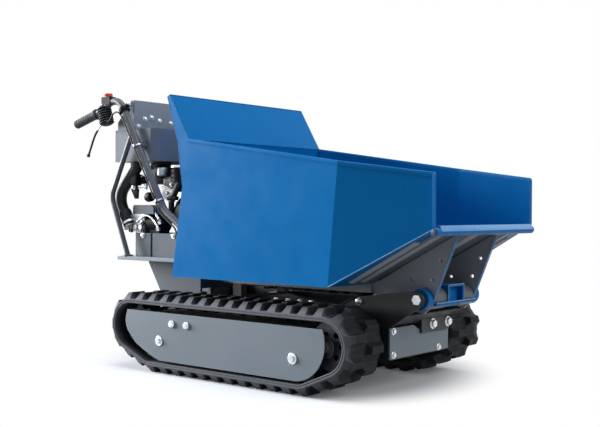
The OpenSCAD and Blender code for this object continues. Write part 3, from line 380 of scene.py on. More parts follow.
# The bellows' pale edge grey paints highlights on their ribs
BOOT_RUBBER = MouldedRubber("moulded_bellows_rubber", "track_rubber", "#141518", "#26282c", "#a0a5ac", 0.55, 4.0)
HOSE_RUBBER = WrappedHose("wrapped_hose_rubber", "hose_rubber", "#141517", "#24262a")
CAST_IRON = BareMetal("sand_cast_iron", "wheel_iron", "#54575c", "#3a3c40", 0.55, 35.0, 6.0, 0.6)
ZINC = BareMetal("zinc_plated_steel", "zinc_steel", "#e4e7ea", "#bfc4ca", 0.28, 12.0, 3.0, 0.05)
GROUND_STEEL = BareMetal("ground_and_polished_steel", "ground_steel", "#c9cccf", "#aeb1b5", 0.2, 30.0, 4.0, 0.04)
CAST_ALLOY = BareMetal("bead_blasted_cast_aluminium", "cast_alloy", "#a9acb0", "#82868b", 0.48, 25.0, 4.0, 0.3)
BLACK_ABS = GrainedPlastic("grained_black_abs", "black_plastic", "#191a1d", "#4a4d53", 0.45, 4.0, 0.25)
RED_ABS = GrainedPlastic("moulded_red_abs", "red_plastic", "#e0453d", "#f08a80", 0.32, 6.0, 0.08)


# Working a mesh

ROD_SIDES = 24
WELD = 0.002
SHARP_ANGLE, ROUNDED_ANGLE = math.radians(38), math.radians(40)


def corners_of(geom: Iterable) -> list:
    """Returns the vertices among a step's geometry."""
    return [g for g in geom if isinstance(g, bmesh.types.BMVert)]


class Stock:
    """A mesh being worked, in millimetres from the middle of the tracks. Its steps return it."""

    def __init__(self, body: Body = Body.CHASSIS) -> None:
        """Starts with no stock.

        Args:
            body: The body that the piece moves with.
        """
        self.bm = bmesh.new()
        self.body = body

    def _stand(self, verts: list, centre: Point, axis: Point) -> None:
        """Turns vertices made along Z at the origin to stand on centre along axis."""
        turn = Vector(axis).to_track_quat("Z", "Y").to_matrix().to_4x4()
        bmesh.ops.transform(self.bm, matrix=Matrix.Translation(Vector(centre)) @ turn, verts=verts)

    def _soften(self, edges: Iterable, width: float) -> None:
        """Bevels edges by a width."""
        bmesh.ops.bevel(self.bm, geom=list(edges), offset=width, offset_type="OFFSET", affect="EDGES", segments=2,
                        profile=0.5, material=-1)

    def _extrude(self, face: bmesh.types.BMFace, move: Matrix) -> bmesh.types.BMFace:
        """Returns the face that a face becomes when it is extruded by a move."""
        grown = bmesh.ops.extrude_face_region(self.bm, geom=[face])["geom"]
        bmesh.ops.transform(self.bm, matrix=move, verts=corners_of(grown))
        return next(g for g in grown if isinstance(g, bmesh.types.BMFace))

    def _follow(self, corners: Iterable[Point], stations: Sequence[Matrix]) -> list:
        """Extrudes a face of corners through stations and returns the faces across it, one at each station."""
        faces = [self.bm.faces.new([self.bm.verts.new(stations[0] @ Vector(c)) for c in corners])]
        for last, this in zip(stations, stations[1:]):
            faces.append(self._extrude(faces[-1], this @ last.inverted()))
        return faces

    def rod(self, start: Point, end: Point, r: float, r_end: float | None = None) -> "Stock":
        """Turns a closed rod or cone between two points.

        Args:
            start: Middle of one end.
            end: Middle of the other.
            r: Radius at the start.
            r_end: Radius at the end, if it differs.

        Returns:
            The stock.
        """
        axis = Vector(end) - Vector(start)
        made = bmesh.ops.create_cone(self.bm, cap_ends=True, segments=ROD_SIDES, radius1=r,
                                     radius2=r if r_end is None else r_end, depth=axis.length)["verts"]
        bmesh.ops.translate(self.bm, vec=(0, 0, axis.length / 2), verts=made)
        self._stand(made, start, axis)
        return self

    def turned(self, outline: Sequence[Corner], centre: Point, axis: Point, steps: int = 32) -> "Stock":
        """Spins an outline of radius and height about an axis.

        Args:
            outline: Radius and height of its corners. One that starts off the axis is closed to a ring.
            centre: Point of the axis at height zero.
            axis: Direction of the axis.
            steps: Sides of the turned piece.

        Returns:
            The stock.
        """
        before = set(self.bm.verts)
        corners = [self.bm.verts.new((r, 0.0, h)) for r, h in outline]
        ring = corners + corners[:1] if outline[0][0] else corners
        edges = [self.bm.edges.new(pair) for pair in zip(ring, ring[1:])]
        bmesh.ops.spin(self.bm, geom=corners + edges, cent=(0, 0, 0), axis=UP, angle=2 * math.pi, steps=steps,
                       use_merge=True)
        self._stand([v for v in self.bm.verts if v not in before], centre, axis)
        return self

    def plate(self, low: Point, high: Point, soft: float) -> "Stock":
        """Saws a block between two corners and softens its edges.

        Args:
            low: Lowest corner.
            high: Highest corner.
            soft: Width of its softened edges.

        Returns:
            The stock.
        """
        a, b = Vector(low), Vector(high)
        sized = Matrix.Translation((a + b) / 2) @ Matrix.Diagonal((*(b - a), 1.0))
        made = bmesh.ops.create_cube(self.bm, size=1.0, matrix=sized)["verts"]
        self._soften({e for v in made for e in v.link_edges}, soft)
        return self

    def drawn(self, outline: Sequence[Corner], y0: float, y1: float, soft: float) -> "Stock":
        """Draws a side-view outline across the machine.

        Args:
            outline: Corners as x and z.
            y0: Where it starts.
            y1: Where it ends.
            soft: Width of its softened edges.

        Returns:
            The stock.
        """
        before = set(self.bm.verts)
        face = self.bm.faces.new([self.bm.verts.new((x, y0, z)) for x, z in outline])
        self._extrude(face, Matrix.Translation((0, y1 - y0, 0)))
        self._soften({e for v in self.bm.verts if v not in before for e in v.link_edges}, soft)
        return self

    def swept(self, section: Sequence[Corner], path: Sequence[Point], up: Point = UP) -> "Stock":
        """Extrudes a closed section along a path.

        Args:
            section: Corners, to the path's right and up.
            path: Points that the section follows.
            up: Direction that keeps the section upright.

        Returns:
            The stock.
        """
        points = [Vector(p) for p in path]
        runs = [(b - a).normalized() for a, b in zip(points, points[1:])]
        stations = []
        for point, back, ahead in zip(points, runs[:1] + runs, runs + runs[-1:]):
            along = (back + ahead).normalized()
            side = along.cross(Vector(up)).normalized()
            top = side.cross(along)
            # A mitred corner is wider by the secant of half its turn
            wide = 1.0 / max(0.5, along.dot(ahead))
            turn = ahead - back
            if abs(side.dot(turn)) >= abs(top.dot(turn)):
                side *= wide
            else:
                top *= wide
            stations.append(Matrix.Translation(point) @ Matrix((side, along, top)).transposed().to_4x4())
        self._follow([(s, 0, t) for s, t in section], stations)
        return self

    def wire(self, path: Sequence[Point], r: float, segments: int = 8, up: Point = UP) -> "Stock":
        """Bends a round wire along a path.

        Args:
            path: Points that the wire follows.
            r: Its radius.
            segments: Sides of the wire.
            up: Direction that isn't along the wire.

        Returns:
            The stock.
        """
        angles = [2 * math.pi * k / segments for k in range(segments)]
        return self.swept([(r * math.cos(a), r * math.sin(a)) for a in angles], path, up)

    def hex_bolts(self, centres: Iterable[Point], axis: Point, r: float, height: float,
                  washer: float = 0.0) -> "Stock":
        """Sets hexagon bolt heads, with washers under them.

        Args:
            centres: Middles of their seats.
            axis: Direction that the heads face.
            r: Radius of a head over its corners.
            height: Height of a head.
            washer: Radius of a washer, or zero for none.

        Returns:
            The stock.
        """
        seat = 0.25 * height if washer else 0.0
        middle, hole = seat + height / 2, 0.5 * r
        ring = [(hole, 0), (washer, 0), (washer, 0.8 * seat), (washer - 0.2 * seat, seat), (hole, seat)]
        for centre in centres:
            if washer:
                self.turned(ring, centre, axis)
            made = bmesh.ops.create_cone(self.bm, cap_ends=True, segments=6, radius1=r, radius2=r,
                                         depth=height)["verts"]
            bmesh.ops.translate(self.bm, vec=(0, 0, middle), verts=made)
            rim = {e for v in made for e in v.link_edges if all(w.co.z > middle for w in e.verts)}
            self._stand(made, centre, axis)
            self._soften(rim, 0.13 * r)
        return self

    def looped(self, section: Sequence[Corner], stations: Sequence[Matrix]) -> "Stock":
        """Extrudes a closed section round a loop of stations, each with X along, Y across and Z out.

        Args:
            section: Corners, across and out.
            stations: Places round the loop, without the first one again.

        Returns:
            The stock.
        """
        for across in self._follow([(0, y, h) for y, h in section], [*stations, stations[0]]):
            self.bm.faces.remove(across)
        return self

    def stamped(self, levels: Sequence[tuple[float, float, float, float]], places: Iterable[Matrix]) -> "Stock":
        """Moulds a block of three levels at many places.

        Args:
            levels: Half length, low and high across, and height of each level, from the root up.
            places: Where the blocks stand.

        Returns:
            The stock.
        """
        rings = [[self.bm.verts.new(at)
                  for at in ((-half, low, h), (half, low, h), (half, high, h), (-half, high, h))]
                 for half, low, high, h in levels]
        faces = [self.bm.faces.new(rings[0][::-1]), self.bm.faces.new(rings[-1])]
        for under, over in zip(rings, rings[1:]):
            faces += [self.bm.faces.new((under[i - 1], under[i], over[i], over[i - 1])) for i in range(4)]
        master = [*sum(rings, []), *{e for f in faces for e in f.edges}, *faces]
        for place in places:
            copy = bmesh.ops.duplicate(self.bm, geom=master)["geom"]
            bmesh.ops.transform(self.bm, matrix=place, verts=corners_of(copy))
        bmesh.ops.delete(self.bm, geom=corners_of(master), context="VERTS")
        return self

    def mirrored(self) -> "Stock":
        """Adds the other side's copy and returns the stock."""
        bmesh.ops.mirror(self.bm, geom=[*self.bm.verts, *self.bm.edges, *self.bm.faces], axis="Y", merge_dist=-1.0)
        return self

    def piece(self, name: str, finish: Finish, soft: float = 0.0) -> bpy.types.Object:
        """Finishes the stock as an object that rides on its body.

        Args:
            name: The piece's name.
            finish: Its finish.
            soft: Width of a bevel that rounds its edges, in millimetres.

        Returns:
            The new object.
        """
        bmesh.ops.remove_doubles(self.bm, verts=self.bm.verts, dist=WELD)
        bmesh.ops.recalc_face_normals(self.bm, faces=self.bm.faces)
        bmesh.ops.transform(self.bm, matrix=TO_FRAME, verts=self.bm.verts)
        mesh = bpy.data.meshes.new(name)
        self.bm.to_mesh(mesh)
        self.bm.free()
        mesh.shade_smooth()
        mesh.set_sharp_from_angle(angle=SHARP_ANGLE)
        mesh.materials.append(finish.material())
        made = new_object(name, mesh)
        if soft:
            round_edges(made, soft)
        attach(made, self.body.value)
        LOG.info("piece %s: %d faces, %s, on %s", name, len(mesh.polygons), finish.name, self.body.value)
        return made


def round_edges(obj: bpy.types.Object, width: float) -> None:
    """Rounds an object's sharp edges with a modifier.

    Args:
        obj: The object.
        width: Width of the rounding in millimetres.
    """
    rounding = obj.modifiers.new("edge_rounding", "BEVEL")
    rounding.width = width * MM
    rounding.segments = 2
    rounding.limit_method = "ANGLE"
    rounding.angle_limit = ROUNDED_ANGLE
    rounding.harden_normals = True


def weld_and_smooth(crease: float) -> Tree:
    """Makes the modifier that joins a CAD node's loose triangles and smooths its round faces.

    Args:
        crease: Edges that turn by more than this many degrees stay sharp.

    Returns:
        The modifier's tree, shared by the nodes with the same crease.
    """
    name = f"weld_and_smooth_{crease:.0f}"
    tree = bpy.data.node_groups.get(name)
    if tree is None:
        tree = bpy.data.node_groups.new(name, "GeometryNodeTree")
        for way in ("INPUT", "OUTPUT"):
            tree.interface.new_socket("Geometry", in_out=way, socket_type="NodeSocketGeometry")
        start = add_node(tree, "NodeGroupInput")
        joined = add_node(tree, "GeometryNodeMergeByDistance", inputs={
            "Geometry": start.outputs[0], "Distance": WELD * MM})
        smooth = add_node(tree, "GeometryNodeSetShadeSmooth", {"domain": "FACE"}, {
            "Geometry": joined.outputs[0], "Shade Smooth": True})
        angle = add_node(tree, "GeometryNodeInputMeshEdgeAngle")
        sharp = add_node(tree, "FunctionNodeCompare", {"data_type": "FLOAT", "operation": "GREATER_THAN"}, {
            0: angle.outputs["Unsigned Angle"], 1: math.radians(crease)})
        split = add_node(tree, "GeometryNodeSetShadeSmooth", {"domain": "EDGE"}, {
            "Geometry": smooth.outputs[0], "Selection": sharp.outputs[0], "Shade Smooth": False})
        add_node(tree, "NodeGroupOutput", inputs={0: split.outputs[0]})
    return tree


def dress(names: Iterable[str], finish: Finish, soft: float = 1.0, crease: float = 34.0) -> None:
    """Gives CAD nodes a finish and rounds their edges.

    Args:
        names: The nodes.
        finish: Their finish.
        soft: Width of the rounding in millimetres, or zero for none.
        crease: Edges that turn by more than this many degrees stay sharp.
    """
    for name in names:
        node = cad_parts[name]
        if not node.material_slots:
            node.data.materials.append(finish.material())
        for slot in node.material_slots:
            slot.material = finish.material()
        smooth = node.modifiers.new("weld_and_smooth", "NODES")
        smooth.node_group = weld_and_smooth(crease)
        if soft:
            round_edges(node, soft)
        LOG.info("node %s: %s", name, finish.name)


def both(name: str) -> tuple[str, str]:
    """Returns the right and left names of a paired node."""
    return f"{name}_r", f"{name}_l"


# Sub-assemblies


@dataclass
class Skip:
    """The tipping skip: its sheet edges, lip, ribs and hinge."""

    half: float = 350.0
    heel: Corner = (-239.0, 330.0)
    foot: Corner = (-166.0, 793.0)
    top: Corner = (-257.0, 946.0)
    fold: Corner = (465.0, 700.0)
    lip: Corner = (758.0, 507.0)
    lip_rim: float = 661.0
    lip_half: float = 287.0
    rim_half: float = 290.0
    hem: float = 11.0
    floor: Corner = (429.0, 330.0)
    gusset: float = 122.0
    gusset_in: float = 113.5
    hinge: Corner = (620.0, 292.0)
    pocket_x: float = 656.3
    pocket_half: float = 46.0
    pocket_span: Corner = (281.0, 331.0)

    def build(self) -> None:
        """Dresses the skip's nodes and builds its sheet details, with their painted highlights and painted shade."""
        dress(["skip_tub"], BLUE_COAT, 1.6, 5.0)
        dress(["lip_tube", "hinge_tube"], BLUE_COAT, 1.2)
        # Gussets and subframe sit in the shade under the chute, painted paler to lift it
        dress(both("gusset"), SHADE_LIFTED_GREY_COAT, 1.2)
        dress(["skip_subframe"], SHADE_LIFTED_GREY_COAT, 1.0)
        self.upper_edges()
        self.front_edge()
        self.underside()

    def upper_edges(self) -> None:
        """Folds the side walls' hems, rolls the headboard's top edge and folds the edges of its wings."""
        u = self.hem
        section = [(-3.4, -9.0), (-3.4, -0.4), (-2.2, 1.5), (-0.2, 2.2), (1.6, 1.4), (2.8, -0.6), (2.8, -u + 0.8),
                   (2.2, -u), (0.0, -u)]
        # The path runs forward on the right, so that the section's right is outward
        Stock(Body.SKIP).swept(section, [
            (self.foot[0], -self.half, self.foot[1]), (self.fold[0], -self.half, self.fold[1]),
            (self.lip[0], -self.rim_half, self.lip_rim)]).mirrored().piece("skip_rim_hems", BLUE_COAT)
        x, z, end = self.top[0] + 1.8, self.top[1], self.half - 2
        Stock(Body.SKIP).wire([(x, -end, z), (x, end, z)], 2.8, 10).piece("headboard_rolled_edge", BLUE_COAT)
        lean = (self.foot[0] - self.heel[0]) / (self.foot[1] - self.heel[1])
        down_wing = 310.0
        path = [(self.top[0] - 8, self.top[1] - 5), (self.foot[0] - 43, self.foot[1] - 17),
                (self.foot[0] - 36, self.foot[1] - 85), (self.heel[0] + lean * down_wing, self.heel[1] + down_wing)]
        wing = Stock(Body.SKIP).wire([(px, -self.half + 1.5, pz) for px, pz in path], 1.9, up=LEFT)
        wing.mirrored().piece("headboard_wing_edges", BLUE_COAT)

    def front_edge(self) -> None:
        """Folds the flanges at the chute's mouth and the strip over the lip tube, the strip in a pale blue that
        paints its highlight.
        """
        x, z = self.lip
        corner = [(4.0 + 9.0 * math.cos(a), self.lip_rim - 8.0 + 9.0 * math.sin(a))
                  for a in (0.0, math.pi / 6, math.pi / 3, math.pi / 2)]
        outline = [(0.0, z + 4), (12.0, z + 4), *corner, (0.0, self.lip_rim + 1)]
        flange = Stock(Body.SKIP).swept([(self.lip_half - 1.0 + out, h) for out, h in outline],
                                        [(x - 2, 0, 0), (x + 2, 0, 0)])
        flange.mirrored().piece("chute_mouth_flanges", BLUE_COAT, 1.2)
        strip = [(x - 6, z + 7.5), (x + 4, z + 8), (x + 12.5, z - 8), (x + 9.5, z - 10), (x + 1, z + 4),
                 (x - 6, z + 3.5)]
        # The strip's pale blue is a painted highlight
        Stock(Body.SKIP).drawn(strip, -self.lip_half + 18, self.lip_half - 2, 1.0).piece("lip_strip", PAINTED_HIGHLIGHT_COAT)
        plug = [(0, 0), (8.6, 0), (8.6, 1.6), (7.4, 2.2), (0, 2.4)]
        plugs = Stock(Body.SKIP).turned(plug, (x, -self.lip_half - 5.6, z - 10), RIGHT)
        plugs.mirrored().piece("lip_tube_plugs", CAST_IRON)

    def underside(self) -> None:
        """Presses stiffeners into the chute's underside, lays pale beads along its lower edges as painted highlights
        and welds the gussets to it.
        """
        floor, lip = Vector((self.floor[0], 0, self.floor[1])), Vector((self.lip[0], 0, self.lip[1]))
        slope = (lip - floor).normalized()
        down = Vector((slope.z, 0, -slope.x))
        start, stop = floor + 26 * slope, lip - 40 * slope
        ribs = Stock(Body.SKIP)
        for y, wide, share in ((-205, 15.0, 1.0), (205, 15.0, 1.0), (-262, 15.0, 0.86), (262, 15.0, 0.86),
                               (0, 24.0, 1.0)):
            flat, side = 0.6 * wide, Vector((0, y, 0))
            ribs.swept([(-wide, -1.0), (-wide, 0.6), (-flat, 5.5), (flat, 5.5), (wide, 0.6), (wide, -1.0)],
                       [start + side, start + (stop - start) * share + side], down)
        # The stiffeners take the grey painted paler against the shade under the chute
        ribs.piece("chute_stiffeners", SHADE_LIFTED_GREY_COAT, 1.5)
        Stock(Body.SKIP).swept([(-244, -0.5), (-244, 1.6), (244, 1.6), (244, -0.5)],
                               [start - 14 * slope, stop + 10 * slope], down).piece("chute_underplate", BAY_COAT, 0.6)
        # Pale beads along the chute's lower edges paint their highlights
        hem = Stock(Body.SKIP).wire([(self.floor[0] + 2, -self.half + 1.2, self.floor[1] + 1.4),
                                     (self.lip[0] - 4, -self.lip_half + 0.6, self.lip[1] - 0.8)], 2.0)
        hem.mirrored().piece("chute_bottom_edge_highlights", PAINTED_HIGHLIGHT_COAT)
        self.hinge_highlights_and_shade()
        beads = Stock(Body.SKIP)
        for y in (-self.gusset - 2.0, -self.gusset + 10.0, self.gusset + 2.0, self.gusset - 10.0):
            beads.wire([start + (stop - start) * k / 24 + down * (1.2 + 0.35 * (k % 2)) + Vector((0, y, 0))
                        for k in range(25)], 3.2, up=LEFT)
        beads.piece("gusset_weld_beads", DARK_COAT)

    def hinge_highlights_and_shade(self) -> None:
        """Draws painted highlights along the gussets' front edges and round the hinge pocket, and lays dark sleeves
        on the hinge tube as painted shade.
        """
        # Pale lines along the gussets' front edges are painted highlights
        gusset_edge_highlights = Stock(Body.SKIP)
        for y in (-self.gusset - 0.4, -self.gusset + 8.4):
            gusset_edge_highlights.wire([(735.0, y, 491.0), (651.0, y, 288.0)], 1.5, up=LEFT)
        gusset_edge_highlights.mirrored().piece("gusset_front_edge_highlights", PAINTED_HIGHLIGHT_COAT)
        x, w, (low, high) = self.pocket_x, self.pocket_half, self.pocket_span
        # Pale lines round the hinge pocket and along its sill are painted highlights
        edges = Stock(Body.SKIP).wire([(x, -w, low), (x, -w, high)], 1.5, up=LEFT).mirrored()
        edges.wire([(x, -w, high), (x, w, high)], 1.5)
        edges.wire([(x, -self.gusset_in, low - 1), (x, self.gusset_in, low - 1)], 1.9)
        edges.piece("hinge_pocket_edge_highlights", PAINTED_HIGHLIGHT_COAT)
        # Dark sleeves on the hinge tube between the gussets and the pocket paint the shade there
        end = self.gusset_in - w - 1.0
        sleeve = Stock(Body.SKIP).turned([(32.1, 0), (33.0, 0), (33.0, end), (32.1, end)],
                                         (self.hinge[0], -self.gusset_in, self.hinge[1]), LEFT, 40)
        sleeve.mirrored().piece("hinge_tube_shade_sleeves", TUBE_COAT)


@dataclass
class LiftRam:
    """The single-acting ram under the skip."""

    base: Corner = (60.0, 140.0)
    rod: Corner = (400.0, 300.0)
    barrel: float = 28.0

    def build(self) -> None:
        """Dresses the ram and fits its gland and port."""
        dress(["lift_cylinder"], DARK_COAT, 1.0)
        dress(["lift_rod"], GROUND_STEEL, 0.6)
        a, b = Vector((self.base[0], 0, self.base[1])), Vector((self.rod[0], 0, self.rod[1]))
        along = (b - a).normalized()
        gland = [(14.0, 0), (24, 0), (24, 3), (20, 6), (16, 7.5), (14, 7.5)]
        Stock(Body.CYLINDER).turned(gland, b - 80 * along, along).piece("ram_gland", BLACK_ABS)
        side = Vector((-along.z, 0, along.x))
        foot = a + along * 70 + side * (self.barrel - 2)
        port = Stock(Body.CYLINDER).rod(foot, foot + side * 12, 11).hex_bolts([foot + side * 12], side, 10, 10)
        port.piece("ram_port", ZINC, 0.5)


@dataclass
class TrackBelt:
    """A moulded rubber belt: a beaded carcass, two rows of lugs with sloped ends, and guide horns."""

    node: str
    middle: float
    wheels: tuple[tuple[float, float, float], ...] = (
        (427.0, 155.0, 76.0), (-427.0, 155.0, 76.0), (-330.0, 77.0, 40.0), (336.0, 77.0, 40.0))
    half: float = 90.0
    thick: float = 15.0
    lug: float = 22.0
    count: int = 37
    horn: float = 18.0
    stations: int = 222

    def spans(self) -> list[tuple[float, float, float, float]]:
        """Returns, for each wheel, the angles where the belt meets and leaves it, its arc and the run after it."""
        leave, runs = [], []
        for a, b in zip(self.wheels, [*self.wheels[1:], self.wheels[0]]):
            gap = math.hypot(b[0] - a[0], b[1] - a[1])
            leave.append(math.atan2(b[1] - a[1], b[0] - a[0]) - math.acos((a[2] - b[2]) / gap))
            runs.append(math.sqrt(gap ** 2 - (a[2] - b[2]) ** 2))
        meet = [leave[-1], *leave[:-1]]
        turns = [(out - into) % (2 * math.pi) for out, into in zip(leave, meet)]
        return [(into, into + turn, (wheel[2] + self.thick / 2) * turn, run)
                for into, turn, wheel, run in zip(meet, turns, self.wheels, runs)]

    def at(self, s: float) -> Matrix:
        """Returns the place a distance round the belt's inner face: X along it, Y across and Z out."""
        spans = self.spans()
        s %= sum(arc + run for _, _, arc, run in spans)
        for (x, z, r), (meet, leave, arc, run) in zip(self.wheels, spans):
            if s < arc + run:
                angle, ahead = (meet + s / (r + self.thick / 2), 0.0) if s < arc else (leave, s - arc)
                break
            s -= arc + run
        out, along = Vector((math.cos(angle), 0, math.sin(angle))), Vector((-math.sin(angle), 0, math.cos(angle)))
        foot = Vector((x, self.middle, z)) + r * out + ahead * along
        return Matrix.Translation(foot) @ Matrix((along, Vector(RIGHT), out)).transposed().to_4x4()

    def build(self) -> None:
        """Moulds the belt in place of its stepped CAD node."""
        length = sum(arc + run for _, _, arc, run in self.spans())
        pitch = length / self.count
        w, t = self.half, self.thick
        # A bead runs along both inner edges, with a shallow groove over it
        edge = [(w - 3, 0.0), (w - 0.6, 0.8), (w, 2.6), (w, 4.6), (w - 1.6, 5.8), (w - 1.6, 7.2), (w - 0.2, 8.6),
                (w - 0.2, t - 2.5), (w - 2.2, t)]
        places = [self.at(length * k / self.stations) for k in range(self.stations)]
        stock = Stock().looped([*edge, *[(-y, h) for y, h in reversed(edge)]], places)
        # The outer row of lugs starts the count and the inner row lies half a pitch on
        right, left = Matrix.Identity(4), Matrix.Diagonal((1.0, -1.0, 1.0, 1.0))
        rows = [(0.0, left), (0.5, right)] if self.middle > 0 else [(0.0, right), (0.5, left)]
        stock.stamped(
            [(21.0, 9.0, w - 0.4, t - 3.0), (15.0, 11.0, w - 3.4, t + 4.0), (10.5, 14.0, w - 21.0, t + self.lug)],
            [self.at((k + phase) * pitch) @ turn for phase, turn in rows for k in range(self.count)])
        stock.stamped(
            [(12.0, -12.0, 12.0, 2.0), (9.5, -10.5, 10.5, -self.horn / 2), (7.0, -9.0, 9.0, -self.horn)],
            [self.at((k + 0.25) * pitch) for k in range(self.count)])
        made = stock.piece(f"{self.node}_moulding", TRACK_RUBBER, 2.2)
        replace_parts(made, self.node)


@dataclass
class Undercarriage:
    """Tracks, rollers, covers and the bolts on them."""

    cover: float = 378.5
    gauge: float = 288.5
    axle: float = 155.0
    chassis: float = 160.0
    front: float = 521.0

    def build(self) -> None:
        """Dresses the tracks and sets their fasteners."""
        for node, side in zip(both("track_belt"), (-1, 1)):
            TrackBelt(node, side * self.gauge).build()
        dress(both("track_frame"), DARK_COAT, 1.0)
        dress(both("side_cover"), COVER_COAT, 0.0)
        dress(["track_bolts"], ZINC, 0.8)
        dress(both("sprocket"), CAST_IRON, 1.2)
        dress(both("idler"), CAST_IRON, 1.5)
        dress([f"road_roller_{s}{i}" for s in "rl" for i in range(1, 5)], CAST_IRON, 1.5)
        dress(["chassis_frame"], DARK_COAT, 1.2)
        dress(["front_plate"], GREY_COAT, 1.0)
        dress(["pivot_pins"], ZINC, 1.0)
        self.cover_bolts()
        self.frame_bolts()

    def cover_bolts(self) -> None:
        """Sets the covers' domed heads and the broad washers under the lower bolts."""
        heads, washers = Stock(), Stock()
        r, lip, height = 13.0, 2.0, 9.6
        arc = [(r * math.cos(a), lip + (height - lip) * math.sin(a)) for a in (math.pi * k / 12 for k in range(6))]
        for x in (-208.0, -138.0):
            heads.turned([(0, 0), (r, 0), *arc, (0, height)], (x, -self.cover, self.axle + 20), RIGHT, 24)
        heads.mirrored().piece("cover_domed_bolts", ZINC)
        for x in (-272.0, 319.0):
            washers.turned([(11.0, -0.2), (17.5, -0.2), (17.5, 1.8), (16.6, 2.5), (11.0, 2.5)],
                           (x, -self.cover, self.axle - 42), RIGHT)
        washers.mirrored().piece("cover_broad_washers", ZINC)

    def frame_bolts(self) -> None:
        """Sets the bolts of the front bracket, front plate and chassis rails, and the hinge pins' washers."""
        bracket = [(self.front + 14, y, 196.5) for y in (58.6, 150.0)]
        Stock().hex_bolts(bracket, AHEAD, 12.5, 9.5, 17.0).piece("bracket_bolts", ZINC)
        plate = [(self.front + 6, y, z) for y, z in ((-150.0, 190.0), (-150.0, 118.0), (108.0, 116.0))]
        Stock().hex_bolts(plate, AHEAD, 8.0, 5.5, 11.0).piece("front_plate_bolts", ZINC)
        washer = [(12.0, 0), (22, 0), (22, 1.8), (21, 2.6), (12.0, 2.6)]
        pin = (Skip.hinge[0], -self.chassis, Skip.hinge[1])
        Stock().turned(washer, pin, RIGHT).mirrored().piece("hinge_pin_washers", DARK_COAT)
        rail = Stock().hex_bolts([(404.0, -self.chassis, 275.0)], RIGHT, 8.5, 6.0, 11.0).mirrored()
        # The photograph shows the row on the near rail alone
        row = [(x, -self.chassis + 4.0, 258.0) for x in (60.0, 112.0, 162.0, 210.5)]
        rail.hex_bolts(row, UP, 7.5, 6.0, 9.0).piece("chassis_rail_bolts", ZINC)


